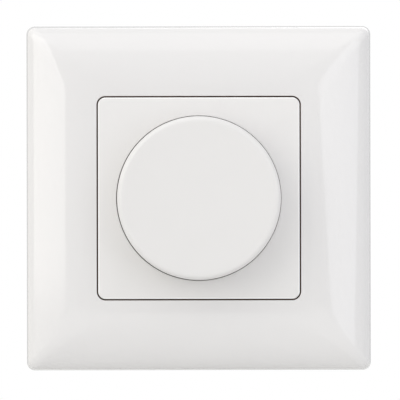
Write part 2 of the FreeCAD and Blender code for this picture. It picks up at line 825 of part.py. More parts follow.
rectangle(hooks, -(size.housing_half - size.fixing_clearance), -recess_half, -hook_side, hook_side)
pad(rear_housing, hooks, size.snap_window_height - size.fixing_clearance * 2)
board_posts = new_sketch(rear_housing, level=back_inside)
for across, up in CORNERS:
    post_up = size.board_post_reach if up > 0 else size.board_post_low
    post_across = size.board_post_reach * across
    circle(board_posts, size.board_post_radius, post_across * board_share, post_up * board_share)
pad(rear_housing, board_posts, size.board_post_height)
notch_half = terminal_pitch + terminal_width / 2 + size.terminal_side_gap
notch_outside = notch_half + size.notch_wall
notch_walls = new_sketch(rear_housing, level=back_level)
rectangle(notch_walls, -notch_outside, notch_outside,
          size.notch_wall / 2 - cavity_half, terminal_top + size.notch_wall)
pad(rear_housing, notch_walls, size.terminal_depth + size.notch_wall)
notch = new_sketch(rear_housing, level=terminal_front)
rectangle(notch, -notch_half, notch_half, -size.housing_half * PAST_EDGE, terminal_top)
pocket(rear_housing, notch, size.terminal_depth)
tail_slots = new_sketch(rear_housing, level=cage_back + size.tail_thickness + size.fixing_clearance)
half_tail_slot = size.tail_width / 2 + size.fixing_clearance
for step in ROW_OF_THREE:
    centre = terminal_pitch * step
    rectangle(tail_slots, centre - half_tail_slot, centre + half_tail_slot,
              terminal_top, terminal_top + size.notch_wall)
pocket(rear_housing, tail_slots, size.tail_thickness + size.fixing_clearance * 2)

# Terminals: insulating blocks in the notch, each with a round wire entry at the back, a square
# brass clamp with a tail soldered to the power board, and a clamping screw reached from below.
half_terminal = terminal_width / 2
half_cage = size.cage_side / 2
cage_room = half_cage + size.fixing_clearance
power_front = back_inside + size.board_post_height + size.power_board_thickness
power_edge = terminal_top + size.notch_wall + size.power_board_gap
terminal_bodies = new_body("terminal_bodies")
blocks = new_sketch(terminal_bodies, level=back_level)
rooms = new_sketch(terminal_bodies, level=terminal_front)
entries = new_sketch(terminal_bodies, level=cage_back)
for step in ROW_OF_THREE:
    centre = terminal_pitch * step
    rectangle(blocks, centre - half_terminal, centre + half_terminal, terminal_bottom, terminal_top)
    outline(rooms, [
        (centre - cage_room, wire_up - cage_room),
        (centre + cage_room, wire_up - cage_room),
        (centre + cage_room, wire_up + cage_room),
        (centre + half_tail_slot, wire_up + cage_room),
        (centre + half_tail_slot, terminal_top + size.fixing_clearance),
        (centre - half_tail_slot, terminal_top + size.fixing_clearance),
        (centre - half_tail_slot, wire_up + cage_room),
        (centre - cage_room, wire_up + cage_room),
    ])
    circle(entries, size.wire_radius, centre, wire_up)
pad(terminal_bodies, blocks, size.terminal_depth)
pocket(terminal_bodies, rooms, terminal_front - cage_back)
pocket(terminal_bodies, entries, size.wire_depth)
screw_holes = new_sketch(terminal_bodies, "XY_Plane", wire_up)
for step in ROW_OF_THREE:
    hole_radius = size.clamp_screw_head_radius + size.fixing_clearance
    circle(screw_holes, hole_radius, terminal_pitch * step, -clamp_level)
pocket(terminal_bodies, screw_holes, size.terminal_height)

terminal_cages = new_body("terminal_cages")
clamps = new_sketch(terminal_cages, level=cage_back)
tails = new_sketch(terminal_cages, level=cage_back)
feet = new_sketch(terminal_cages, level=power_front)
tail_tip = power_edge + size.tail_overlap
half_tail = size.tail_width / 2
half_opening = half_cage - size.cage_wall
for step in ROW_OF_THREE:
    centre = terminal_pitch * step
    rectangle(clamps, centre - half_cage, centre + half_cage, wire_up - half_cage, wire_up + half_cage)
    rectangle(clamps, centre - half_opening, centre + half_opening,
              wire_up - half_opening, wire_up + half_opening)
    rectangle(tails, centre - half_tail, centre + half_tail, wire_up + half_cage, tail_tip)
    rectangle(feet, centre - half_tail, centre + half_tail, tail_tip - size.tail_thickness, tail_tip)
pad(terminal_cages, clamps, size.cage_depth)
pad(terminal_cages, tails, size.tail_thickness)
pad(terminal_cages, feet, cage_back - power_front)
threads = new_sketch(terminal_cages, "XY_Plane", wire_up)
for step in ROW_OF_THREE:
    thread_radius = size.clamp_screw_radius + size.running_clearance
    circle(threads, thread_radius, terminal_pitch * step, -clamp_level)
pocket(terminal_cages, threads, size.cage_side)

clamp_head_up = terminal_bottom + size.clamp_screw_sink
clamp_screw_tip = wire_up - size.wire_radius - size.clamp_screw_back
terminal_screws = new_body("terminal_screws")
clamp_shanks = new_sketch(terminal_screws, "XY_Plane", clamp_head_up)
clamp_heads = new_sketch(terminal_screws, "XY_Plane", clamp_head_up)
clamp_slots = new_sketch(terminal_screws, "XY_Plane", clamp_head_up)
for step in ROW_OF_THREE:
    centre = terminal_pitch * step
    circle(clamp_shanks, size.clamp_screw_radius, centre, -clamp_level)
    circle(clamp_heads, size.clamp_screw_head_radius, centre, -clamp_level)
    slot_reach = size.clamp_screw_head_radius * PAST_EDGE
    half_slot = size.screw_slot_width / 2
    rectangle(clamp_slots, centre - half_slot, centre + half_slot,
              -clamp_level - slot_reach, -clamp_level + slot_reach)
pad(terminal_screws, clamp_heads, size.clamp_screw_head_height)
pad(terminal_screws, clamp_shanks, clamp_screw_tip - clamp_head_up)
pocket(terminal_screws, clamp_slots, size.screw_slot_depth, outward=True)

# Power board on the rear housing's posts, ending above the terminals.
power_back = power_front - size.power_board_thickness
power_board = new_body("power_board")
board = new_sketch(power_board, level=power_back)
rounded_square(board, board_half, board_corner)
pad(power_board, board, size.power_board_thickness)
board_cut = new_sketch(power_board, level=power_front)
rectangle(board_cut, -size.housing_half, size.housing_half, -size.housing_half, power_edge)
pocket(power_board, board_cut, size.power_board_thickness)

# Interference choke: a ferrite ring with two windings, built on the axis and moved to its place.
choke_level = power_front + size.winding_thickness + size.running_clearance * 2
choke_radius = size.choke_radius * board_share
choke_bore = size.choke_bore * board_share
choke_core = new_body("choke_core")
turn(choke_core, [
    (choke_bore, ZERO),
    (choke_radius, ZERO),
    (choke_radius, size.choke_height),
    (choke_bore, size.choke_height),
])
choke_winding = new_body("choke_winding")
winding = new_sketch(choke_winding, "XY_Plane")
for grow in (size.running_clearance, size.running_clearance + size.winding_thickness):
    rectangle(winding, choke_bore - grow, choke_radius + grow, -(size.choke_height + grow), grow)
windings = choke_winding.newObject("PartDesign::Revolution", "Turned")
windings.Profile = winding
windings.ReferenceAxis = (origin_feature(choke_winding, "Y_Axis"), [""])
windings.Angle = WINDING_DEGREES
repeat_round(choke_winding, [windings], 2)
for piece in (choke_core, choke_winding):
    piece.setExpression("Placement.Base.x", choke_across.text)
    piece.setExpression("Placement.Base.y", (-choke_level).text)
    piece.setExpression("Placement.Base.z", choke_up.text)

# Film capacitor, two electrolytic cans and the varistor, standing on the power board.
film_capacitor = new_body("film_capacitor")
film_across = size.film_across * board_share
half_film = size.film_width * board_share / 2
film_top = cavity_half - size.film_from_wall * board_share
film = new_sketch(film_capacitor, level=power_front)
rectangle(film, film_across - half_film, film_across + half_film,
          film_top - size.film_length * board_share, film_top)
pad(film_capacitor, film, size.film_height)
round_edges(film_capacitor, at_level(power_front + size.film_height), size.component_round)

electrolytic_capacitors = new_body("electrolytic_capacitors")
can_radius = size.can_radius * board_share
can_up = cavity_half - size.can_from_wall * board_share - can_radius
can_across = size.can_across * board_share
next_can_across = can_across + size.can_pitch * board_share
cans = new_sketch(electrolytic_capacitors, level=power_front)
circle(cans, can_radius, can_across, can_up)
circle(cans, can_radius, next_can_across, can_up - can_radius)
pad(electrolytic_capacitors, cans, size.can_height)
can_top = power_front + size.can_height
round_edges(electrolytic_capacitors, at_level(can_top), size.component_round, "PartDesign::Chamfer")

varistor = new_body("varistor")
varistor_radius = size.varistor_radius * board_share
varistor_across = size.varistor_across * board_share
varistor_up = size.varistor_up * board_share
varistor_level = power_front + size.varistor_lift + varistor_radius
varistor_disc = new_sketch(varistor, "YZ_Plane", varistor_across)
circle(varistor_disc, varistor_radius, -varistor_level, varistor_up)
pad(varistor, varistor_disc, size.varistor_thickness * board_share, symmetric=True)
round_edges(varistor, lambda edge: True, size.varistor_chamfer, "PartDesign::Chamfer")
varistor_leads = new_sketch(varistor, level=power_front)
for side in (-1, 1):
    circle(varistor_leads, size.lead_radius, varistor_across, varistor_up + varistor_radius / 2 * side)
pad(varistor, varistor_leads, size.varistor_lift + varistor_radius / 2)

# Two power transistors against an upright aluminium plate.
heat_front = cavity_half - size.heat_plate_from_wall
heat_back = heat_front - size.heat_plate_thickness
heat_spreader = new_body("heat_spreader")
heat_plate = new_sketch(heat_spreader, level=power_front)
half_heat_plate = size.heat_plate_length * board_share / 2
rectangle(heat_plate, heat_back, heat_front, -half_heat_plate, half_heat_plate)
pad(heat_spreader, heat_plate, size.heat_plate_height)
power_transistors = new_body("power_transistors")
packages = new_sketch(power_transistors, level=power_front + size.transistor_lift)
legs = new_sketch(power_transistors, level=power_front)
transistor_face = heat_back - size.transistor_thickness * board_share
half_package = size.transistor_width * board_share / 2
for side in ROW_OF_TWO:
    centre = size.transistor_pitch * board_share * side
    rectangle(packages, transistor_face, heat_back, centre - half_package, centre + half_package)
    for step in ROW_OF_THREE:
        leg_across = (heat_back + transistor_face) / 2
        leg_up = centre + size.header_pitch * step
        half_leg = size.header_pin / 2
        rectangle(legs, leg_across - half_leg, leg_across + half_leg, leg_up - half_leg, leg_up + half_leg)
pad(power_transistors, packages, size.transistor_height)
pad(power_transistors, legs, size.transistor_lift)

# Header that joins the boards: a plastic strip with four square pins.
board_header = new_body("board_header")
header_top = power_front + size.header_height
header_across = size.header_across * board_share
half_header = size.header_pitch * 2
strip = new_sketch(board_header, level=power_front)
rectangle(strip, header_across - size.header_width / 2, header_across + size.header_width / 2,
          -half_header, half_header)
pad(board_header, strip, size.header_height)
header_pins = new_body("header_pins")
pins = new_sketch(header_pins, level=header_top)
for step in ROW_OF_FOUR:
    pin_up = size.header_pitch * step
    half_pin = size.header_pin / 2
    rectangle(pins, header_across - half_pin, header_across + half_pin, pin_up - half_pin, pin_up + half_pin)
pad(header_pins, pins, board_back - header_top)

# Cover frame: a thin shell. Its outside is lofted through rounded squares whose sides follow a
# quarter ellipse and whose corner radius grows inwards, so the sides meet in a mitre that fades
# towards the centre plate. A collar round the opening carries a ledge for that plate, and ribs
# join the collar to the shell behind.
frame_half = size.frame_side / 2
shoulder_half = frame_half - size.frame_draft
opening_half = size.frame_opening / 2
collar_half = opening_half + size.frame_wall
dome_run = shoulder_half - collar_half
dome_rise = size.frame_front_level - size.frame_edge_height


def dome_sections(inset, edge_corner, front_corner):
    """Rounded squares up the dome, or up its inside when an inset is given."""
    sections = []
    for degrees in DOME_ANGLES:
        run = math.cos(math.radians(degrees))
        rise = math.sin(math.radians(degrees))
        half = collar_half + (dome_run - inset) * run
        corner = edge_corner + (front_corner - edge_corner) * (1 - run)
        sections.append((half, corner, size.frame_edge_height + (dome_rise - inset) * rise))
    return sections


cover_frame = new_body("cover_frame")
loft(cover_frame, [
    (frame_half, size.frame_edge_corner, ZERO),
    (shoulder_half, size.frame_edge_corner, size.frame_edge_height),
])
outer_sections = dome_sections(ZERO, size.frame_edge_corner, size.frame_front_corner)
loft(cover_frame, outer_sections)
inner_front_corner = size.frame_front_corner - size.frame_wall
inner_sections = dome_sections(size.frame_wall, size.frame_inner_corner, inner_front_corner)
hollow = new_sketch(cover_frame)
rounded_square(hollow, shoulder_half - size.frame_wall, size.frame_inner_corner)
pocket(cover_frame, hollow, size.frame_edge_height, outward=True)
loft(cover_frame, inner_sections, "PartDesign::SubtractiveLoft")
collar_corner = size.frame_opening_corner + size.frame_wall
collar_top_level = size.frame_front_level - size.frame_wall / 2
collar = new_sketch(cover_frame, level=size.support_thickness)
rounded_square(collar, collar_half, collar_corner)
pad(cover_frame, collar, collar_top_level - size.support_thickness)
ribs = []
middle_run = dome_run - size.frame_wall / 2
middle_rise = dome_rise - size.frame_wall / 2
for step in ROW_OF_THREE:
    rib = new_sketch(cover_frame, "XY_Plane", size.frame_rib_pitch * step)
    crown = [
        (collar_half + middle_run * math.cos(math.radians(degrees)),
         -(size.frame_edge_height + middle_rise * math.sin(math.radians(degrees))))
        for degrees in RIB_ANGLES
    ]
    inner_edge = collar_half - size.frame_wall / 2
    outline(rib, [
        (inner_edge, -size.frame_rib_level),
        (shoulder_half - size.frame_wall / 2, -size.frame_rib_level),
        *crown,
        (inner_edge, -(size.frame_edge_height + middle_rise)),
    ])
    ribs.append(pad(cover_frame, rib, size.frame_rib_thickness, symmetric=True))
repeat_round(cover_frame, ribs, 4)
plate_front = size.frame_front_level + size.plate_proud
opening = new_sketch(cover_frame, level=plate_front)
rounded_square(opening, opening_half, size.frame_opening_corner)
pocket(cover_frame, opening, plate_front - size.ledge_level)
through = new_sketch(cover_frame, level=size.ledge_level)
rounded_square(through, opening_half - size.ledge_width, size.frame_opening_corner)
pocket(cover_frame, through, size.ledge_level)
behind_ledge = new_sketch(cover_frame, level=size.support_thickness)
rounded_square(behind_ledge, opening_half, size.frame_opening_corner)
ledge_back = size.ledge_level - size.ledge_thickness
pocket(cover_frame, behind_ledge, ledge_back - size.support_thickness, outward=True)

# Centre plate: square face with a rounded edge, a skirt that sits on the frame's ledge, and a
# round well for the knob with a floor that the nut clamps to the housing's boss.
plate_half = opening_half - size.plate_gap
plate_corner = size.frame_opening_corner - size.plate_gap
well_radius = size.knob_radius + size.knob_gap
skirt_inside = plate_half - size.plate_wall
centre_plate = new_body("centre_plate")
face = new_sketch(centre_plate, level=size.ledge_level)
rounded_square(face, plate_half, plate_corner)
pad(centre_plate, face, plate_front - size.ledge_level)
round_edges(centre_plate, at_level(plate_front), size.plate_edge_round)
hollow = new_sketch(centre_plate, level=size.ledge_level)
rounded_square(hollow, skirt_inside, plate_corner)
pocket(centre_plate, hollow, plate_front - size.plate_wall - size.ledge_level, outward=True)
well = new_sketch(centre_plate, level=boss_level)
circle(well, well_radius + size.well_wall)
pad(centre_plate, well, plate_front - size.plate_wall / 2 - boss_level)
well_bore = new_sketch(centre_plate, level=plate_front)
circle(well_bore, well_radius)
pocket(centre_plate, well_bore, plate_front - well_floor_front)
neck_hole = new_sketch(centre_plate, level=well_floor_front)
circle(neck_hole, size.bush_radius + size.well_hole_gap)
pocket(centre_plate, neck_hole, size.well_floor)

# Toothed lock washer and hexagon nut on the bush.
lock_washer = new_body("lock_washer")
washer = new_sketch(lock_washer, level=well_floor_front)
circle(washer, size.washer_radius)
circle(washer, size.bush_radius + size.fixing_clearance)
pad(lock_washer, washer, size.washer_thickness)
tooth_gap = new_sketch(lock_washer, level=washer_top)
half_gap = size.washer_tooth_gap / 2
rectangle(tooth_gap, size.washer_radius - size.washer_tooth_depth, size.washer_radius * PAST_EDGE,
          -half_gap, half_gap)
repeat_round(lock_washer, [pocket(lock_washer, tooth_gap, size.washer_thickness)], WASHER_TEETH)

nut_corner = size.nut_flats / (2 * math.cos(math.radians(30)))
bush_nut = new_body("bush_nut")
hexagon = new_sketch(bush_nut, level=washer_top)
outline(hexagon, [
    (nut_corner * math.cos(math.radians(60 * step)), nut_corner * math.sin(math.radians(60 * step)))
    for step in range(6)
])
circle(hexagon, size.bush_radius + size.running_clearance)
pad(bush_nut, hexagon, size.nut_thickness)
turn(bush_nut, [
    (size.nut_flats / 2, nut_top),
    (nut_corner * PAST_EDGE, nut_top),
    (nut_corner * PAST_EDGE, nut_top - size.nut_chamfer),
], "PartDesign::Groove")

# Knob: a moulded cup with a rounded rim, a hub that takes the spindle, and ribs between the two.
knob_skirt = well_floor_front + size.push_travel + size.knob_floor_gap
knob_inside = size.knob_radius - size.knob_wall
knob = new_body("knob")
turn(knob, [
    (ZERO, knob_front),
    (size.knob_radius, knob_front),
    (size.knob_radius, knob_skirt),
    (knob_inside, knob_skirt),
    (knob_inside, knob_ceiling),
    (ZERO, knob_ceiling),
])
round_edges(knob, at_level(knob_front), size.knob_edge_round)
hub = new_sketch(knob, level=hub_level)
circle(hub, size.hub_radius)
pad(knob, hub, knob_ceiling - hub_level)
rib_level = hub_level + size.knob_rib_drop
knob_rib = new_sketch(knob, level=rib_level)
half_rib = size.knob_rib_thickness / 2
rectangle(knob_rib, size.hub_radius - half_rib, knob_inside + half_rib, -half_rib, half_rib)
repeat_round(knob, [pad(knob, knob_rib, knob_ceiling - rib_level)], KNOB_RIBS)
spindle_bore = new_sketch(knob, level=hub_level)
flatted_circle(spindle_bore, size.spindle_radius + size.running_clearance,
               size.spindle_flat + size.clip_slot)
pocket(knob, spindle_bore, spindle_top - hub_level + size.fixing_clearance, outward=True)

# Bowed leaf spring between the spindle's flat and the hub, which keeps the knob on.
clip_low = hub_level + size.hub_gap
clip_high = spindle_top - size.hub_gap
clip_middle = (clip_low + clip_high) / 2
clip_inside = size.spindle_flat + size.running_clearance
clip_outside = clip_inside + size.clip_thickness
knob_spring_clip = new_body("knob_spring_clip")
leaf = new_sketch(knob_spring_clip, "XY_Plane")
outline(leaf, [
    (clip_inside, -clip_low),
    (clip_outside, -clip_low),
    (clip_outside + size.clip_bow, -clip_middle),
    (clip_outside, -clip_high),
    (clip_inside, -clip_high),
    (clip_inside + size.clip_bow, -clip_middle),
])
pad(knob_spring_clip, leaf, size.clip_width, symmetric=True)

# Every feature is checked before anything is written.
document.recompute()
for item in document.Objects:
    if "Invalid" in item.State or "Error" in item.State:
        raise RuntimeError(f"{item.Name} failed: {item.State}")
os.makedirs("parts", exist_ok=True)
for node in NODES:
    if node.Shape.isNull() or not node.Shape.isValid():
        raise RuntimeError(f"{node.Label} has no valid shape")
    node.Shape.exportStep(f"parts/{node.Label}.step")
    print(node.Label, len(node.Shape.Solids), round(node.Shape.Volume, 3))
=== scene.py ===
import json
import math

import bmesh
import bpy
from mathutils import Matrix, Vector

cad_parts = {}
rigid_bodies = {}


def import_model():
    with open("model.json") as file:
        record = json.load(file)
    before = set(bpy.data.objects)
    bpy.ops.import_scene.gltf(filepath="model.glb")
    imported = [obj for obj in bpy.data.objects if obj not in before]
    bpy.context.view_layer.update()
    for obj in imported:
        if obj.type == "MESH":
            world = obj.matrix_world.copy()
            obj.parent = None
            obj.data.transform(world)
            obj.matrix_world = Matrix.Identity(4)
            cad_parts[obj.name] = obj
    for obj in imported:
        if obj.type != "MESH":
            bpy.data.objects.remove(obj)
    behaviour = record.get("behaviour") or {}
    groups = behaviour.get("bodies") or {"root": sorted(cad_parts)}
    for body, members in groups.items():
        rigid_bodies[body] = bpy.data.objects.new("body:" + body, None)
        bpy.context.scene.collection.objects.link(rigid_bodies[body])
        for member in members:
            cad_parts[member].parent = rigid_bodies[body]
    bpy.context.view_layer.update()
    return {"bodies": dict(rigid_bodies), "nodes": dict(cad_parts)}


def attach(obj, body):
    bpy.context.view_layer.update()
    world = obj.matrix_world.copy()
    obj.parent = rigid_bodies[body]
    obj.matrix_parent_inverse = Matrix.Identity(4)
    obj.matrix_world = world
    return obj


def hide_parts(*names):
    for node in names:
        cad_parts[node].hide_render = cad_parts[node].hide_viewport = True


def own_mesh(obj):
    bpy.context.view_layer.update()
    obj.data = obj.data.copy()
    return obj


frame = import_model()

pieces = frame["nodes"]
MM = 0.001

# The camera stands far off on a long lens, straight in front of the knob but for a hair to the
# left and below, so the square frame fills the picture with almost no perspective.
CAMERA_DISTANCE = 3.0
SENSOR_WIDTH = 36.0
WIDTH_SEEN_AT_WALL = 98.9 * MM
CAMERA_LEFT = math.radians(0.3)
CAMERA_BELOW = math.radians(0.1)
CAMERA_ROLL = math.radians(0.1)
LOOKED_AT = Vector((0.34, 0, -0.44)) * MM

lens = bpy.data.cameras.new("camera")
lens.sensor_width = SENSOR_WIDTH
lens.lens = SENSOR_WIDTH * CAMERA_DISTANCE / WIDTH_SEEN_AT_WALL
lens.clip_start = 0.05
lens.clip_end = 50
camera = bpy.data.objects.new("camera", lens)
bpy.context.scene.collection.objects.link(camera)
stand = Vector((-math.tan(CAMERA_LEFT), -1, -math.tan(CAMERA_BELOW)))
camera.location = LOOKED_AT + CAMERA_DISTANCE * stand
sight = (LOOKED_AT - camera.location).to_track_quat("-Z", "Y")
camera.rotation_euler = (sight.to_matrix() @ Matrix.Rotation(-CAMERA_ROLL, 3, "Z")).to_euler()
bpy.context.scene.camera = camera
bpy.context.scene.view_settings.view_transform = "Standard"
bpy.context.scene.view_settings.look = "None"

# The studio is a white room, brightest overhead, a little warmer on the left and cooler on the right,
# with a large soft box to the left, a smaller one hung on its corner close by on the right, a wide and
# weaker one overhead, and one behind for the views of the back.
BACKDROP_WHITE = 1.0
ROOM_EVEN = 0.13
ROOM_BY_DIRECTION = (
    ((0, -1, 0), 0.28, (1, 1, 1)),
    ((0, 0, 1), 0.58, (1, 1, 1)),
    ((-1, 0, 0), 0.51, (1.02, 1.005, 0.975)),
    ((1, 0, 0), 0.36, (0.98, 0.99, 1.03)),
    ((0, 1, 0), 0.42, (1, 1, 1)),
)


def feed(tree, socket, value):
    """Sets a socket to a value, or links it to another node's output."""
    if isinstance(value, bpy.types.NodeSocket):
        tree.links.new(value, socket)
    else:
        socket.default_value = value


def put(tree, kind, sockets=None, **settings):
    """Adds a node. Each socket takes a value, or the output of another node that feeds it."""
    added = tree.nodes.new(kind)
    for setting, value in settings.items():
        setattr(added, setting, value)
    for socket, value in (sockets or {}).items():
        feed(tree, added.inputs[socket], value)
    return added


def mixed(tree, factor, first, second):
    """A colour between two others."""
    return put(tree, "ShaderNodeMix", {0: factor, 6: first, 7: second}, data_type="RGBA").outputs[2]


studio = bpy.data.worlds.new("studio")
bpy.context.scene.world = studio
studio.use_nodes = True
room = studio.node_tree
room.nodes.clear()
direction = put(room, "ShaderNodeTexCoord")
room_light = (ROOM_EVEN, ROOM_EVEN, ROOM_EVEN)
for way, light, tint in ROOM_BY_DIRECTION:
    facing = put(room, "ShaderNodeVectorMath", {
        0: direction.outputs["Generated"], 1: [share * light for share in way]}, operation="DOT_PRODUCT")
    lit = put(room, "ShaderNodeMath", {0: facing.outputs["Value"], 1: 0}, operation="MAXIMUM")
    total = put(room, "ShaderNodeVectorMath", {
        0: lit.outputs[0], 1: tint, 2: room_light}, operation="MULTIPLY_ADD")
    room_light = total.outputs[0]
seen = put(room, "ShaderNodeLightPath")
backdrop_color = (BACKDROP_WHITE, BACKDROP_WHITE, BACKDROP_WHITE, 1)
backdrop = put(room, "ShaderNodeBackground", {
    "Color": mixed(room, seen.outputs["Is Camera Ray"], room_light, backdrop_color)})
put(room, "ShaderNodeOutputWorld", {"Surface": backdrop.outputs["Background"]})


def soft_box(name, place, aim, width, height, radiance, tilt=0.0, tint=(1, 1, 1)):
    """A rectangular studio light at a place, facing a point, turned in its own plane by a tilt."""
    light = bpy.data.lights.new(name, "AREA")
    light.shape = "RECTANGLE"
    light.size = width
    light.size_y = height
    light.energy = radiance * math.pi * width * height
    light.color = tint
    box = bpy.data.objects.new(name, light)
    bpy.context.scene.collection.objects.link(box)
    box.location = place
    facing = (Vector(aim) - Vector(place)).to_track_quat("-Z", "Y").to_matrix()
    box.rotation_euler = (facing @ Matrix.Rotation(math.radians(tilt), 3, "Z")).to_euler()
    box.visible_camera = False


soft_box("left_box", place=(-0.73, -0.61, 0.46), aim=(0, 0, 0.46), width=1.08, height=0.98,
         radiance=0.93, tint=(1.03, 1.01, 0.955))
soft_box("right_box", place=(0.1944, -0.2546, 0.0547), aim=(0.0016, -0.0248, 0.0547), width=0.23, height=0.25,
         radiance=0.69, tilt=50, tint=(0.97, 0.985, 1.045))
soft_box("top_box", place=(0, -0.575, 0.94), aim=(0, 0, 0), width=1.6, height=0.87, radiance=0.33)
soft_box("back_box", place=(0.5, 1.2, 0.9), aim=(0, 0, 0), width=1.0, height=1.0, radiance=1.6)

# The tabletop is a pale, matt disc with faint blotches. It lies some way under the piece, below the
# picture's edge, and gives the views from other sides a ground.
FLOOR_LEVEL = -62 * MM
FLOOR_RADIUS = 0.6
FLOOR_SIDES = 96
FLOOR_DARKER = (0.66, 0.66, 0.65, 1)
FLOOR_PALER = (0.72, 0.72, 0.71, 1)


def new_finish(name):
    """An empty material: its node tree and the surface shader to feed."""
    finish = bpy.data.materials.new(name)
    finish.use_nodes = True
    return finish, finish.node_tree, finish.node_tree.nodes["Principled BSDF"]


tabletop, tree, surface = new_finish("tabletop")
blotches = put(tree, "ShaderNodeTexNoise", {"Scale": 14.0, "Detail": 4.0})
paleness = put(tree, "ShaderNodeValToRGB", {"Fac": blotches.outputs["Fac"]})
paleness.color_ramp.elements[0].color = FLOOR_DARKER
paleness.color_ramp.elements[1].color = FLOOR_PALER
feed(tree, surface.inputs["Base Color"], paleness.outputs["Color"])
surface.inputs["Roughness"].default_value = 0.8
disc = bmesh.new()
bmesh.ops.create_circle(disc, cap_ends=True, segments=FLOOR_SIDES, radius=FLOOR_RADIUS)
disc_mesh = bpy.data.meshes.new("floor")
disc.to_mesh(disc_mesh)
disc.free()
floor = bpy.data.objects.new("floor", disc_mesh)
floor.location.z = FLOOR_LEVEL
bpy.context.scene.collection.objects.link(floor)
disc_mesh.materials.append(tabletop)

# Support plate and its four screws: stamped sheet steel and headed screws, bright zinc plated, with
# a faint cloudy bloom on the zinc, fine rolling marks and edges rubbed bare by handling.
SHARP_ANGLE = 32
SAME_POINT = 0.002
SAME_PLANE = 0.6
FLAT_FACE_WEIGHT = 80
RUBBED_GAIN = 1.25
MARK_HEIGHT = 0.02


def new_effect(name, inputs, outputs):
    """A shader node group with named inputs, each with a usual value, and named outputs."""
    effect = bpy.data.node_groups.new(name, "ShaderNodeTree")
    for socket, value in inputs.items():
        kind = "NodeSocketColor" if isinstance(value, tuple) else "NodeSocketFloat"
        effect.interface.new_socket(socket, in_out="INPUT", socket_type=kind).default_value = value
    kinds = {"Color": "NodeSocketColor", "Normal": "NodeSocketVector"}
    for socket in outputs:
        kind = kinds.get(socket, "NodeSocketFloat")
        effect.interface.new_socket(socket, in_out="OUTPUT", socket_type=kind)
    return effect, effect.nodes.new("NodeGroupInput").outputs, effect.nodes.new("NodeGroupOutput").inputs


def millimetres(tree, stretch=(1, 1, 1)):
    """Texture coordinates of the object itself, one unit to the millimetre."""
    place = put(tree, "ShaderNodeTexCoord")
    scaled = put(tree, "ShaderNodeMapping", {"Vector": place.outputs["Object"]})
    scaled.inputs["Scale"].default_value = [length / MM for length in stretch]
    return scaled.outputs["Vector"]


def about(tree, middle, change, mask):
    """A value that moves either side of its middle as a mask goes from 0 to 1."""
    centred = put(tree, "ShaderNodeMath", {0: mask, 1: -0.5}, operation="ADD")
    swing = put(tree, "ShaderNodeMath", {
        0: centred.outputs[0], 1: change, 2: middle}, operation="MULTIPLY_ADD")
    return swing.outputs[0]


metal_skin, given, made = new_effect(
    "metal_skin",
    {"Color": (0.6, 0.6, 0.6, 1), "Bloom Color": (0.5, 0.5, 0.5, 1), "Bloom": 0.5, "Roughness": 0.3,
     "Unevenness": 0.1, "Scratch Depth": 0.3},
    ("Color", "Roughness", "Normal"))
clouds = put(metal_skin, "ShaderNodeTexNoise", {
    "Vector": millimetres(metal_skin), "Scale": 0.35, "Detail": 5.0, "Roughness": 0.65})
cloudiness = put(metal_skin, "ShaderNodeMath", {
    0: clouds.outputs["Fac"], 1: given["Bloom"]}, operation="MULTIPLY")
bloomed = mixed(metal_skin, cloudiness.outputs[0], given["Color"], given["Bloom Color"])
feed(metal_skin, made["Color"], bloomed)
marks = put(metal_skin, "ShaderNodeTexNoise", {
    "Vector": millimetres(metal_skin, (0.6, 5, 9)), "Scale": 1.4, "Detail": 3.0})
dullness = about(metal_skin, given["Roughness"], given["Unevenness"], marks.outputs["Fac"])
feed(metal_skin, made["Roughness"], dullness)
raised = put(metal_skin, "ShaderNodeBump", {
    "Height": marks.outputs["Fac"], "Strength": given["Scratch Depth"], "Distance": MARK_HEIGHT * MM})
feed(metal_skin, made["Normal"], raised.outputs["Normal"])

worn_edges, given, made = new_effect("worn_edges", {"Width": 0.15, "Amount": 0.8}, ("Mask",))
width = put(worn_edges, "ShaderNodeMath", {0: given["Width"], 1: MM}, operation="MULTIPLY")
softened = put(worn_edges, "ShaderNodeBevel", {"Radius": width.outputs[0]}, samples=4)
shape = put(worn_edges, "ShaderNodeNewGeometry")
likeness = put(worn_edges, "ShaderNodeVectorMath", {
    0: softened.outputs["Normal"], 1: shape.outputs["Normal"]}, operation="DOT_PRODUCT")
edge = put(worn_edges, "ShaderNodeMapRange", {
    "Value": likeness.outputs["Value"], "From Min": 0.995, "From Max": 0.9})
rubbing = put(worn_edges, "ShaderNodeTexNoise", {
    "Vector": millimetres(worn_edges), "Scale": 1.6, "Detail": 4.0})
patchy = put(worn_edges, "ShaderNodeMapRange", {
    "Value": rubbing.outputs["Fac"], "From Min": 0.4, "From Max": 0.6})
rubbed = put(worn_edges, "ShaderNodeMath", {0: edge.outputs[0], 1: patchy.outputs[0]}, operation="MULTIPLY")
kept = put(worn_edges, "ShaderNodeMath", {0: rubbed.outputs[0], 1: given["Amount"]}, operation="MULTIPLY")
feed(worn_edges, made["Mask"], kept.outputs[0])


def metal(name, color, bloom_color, roughness, **amounts):
    """A bare or plated metal with cloudy colour, fine marks and rubbed edges."""
    finish, tree, surface = new_finish(name)
    skin = put(tree, "ShaderNodeGroup", node_tree=metal_skin)
    feed(tree, skin.inputs["Color"], (*color, 1))
    feed(tree, skin.inputs["Bloom Color"], (*bloom_color, 1))
    feed(tree, skin.inputs["Roughness"], roughness)
    for socket, amount in amounts.items():
        feed(tree, skin.inputs[socket.replace("_", " ").title()], amount)
    wear = put(tree, "ShaderNodeGroup", node_tree=worn_edges)
    bare = tuple(min(1, channel * RUBBED_GAIN) for channel in color)
    worn = mixed(tree, wear.outputs["Mask"], skin.outputs["Color"], (*bare, 1))
    feed(tree, surface.inputs["Base Color"], worn)
    feed(tree, surface.inputs["Roughness"], skin.outputs["Roughness"])
    feed(tree, surface.inputs["Normal"], skin.outputs["Normal"])
    surface.inputs["Metallic"].default_value = 1.0
    return finish


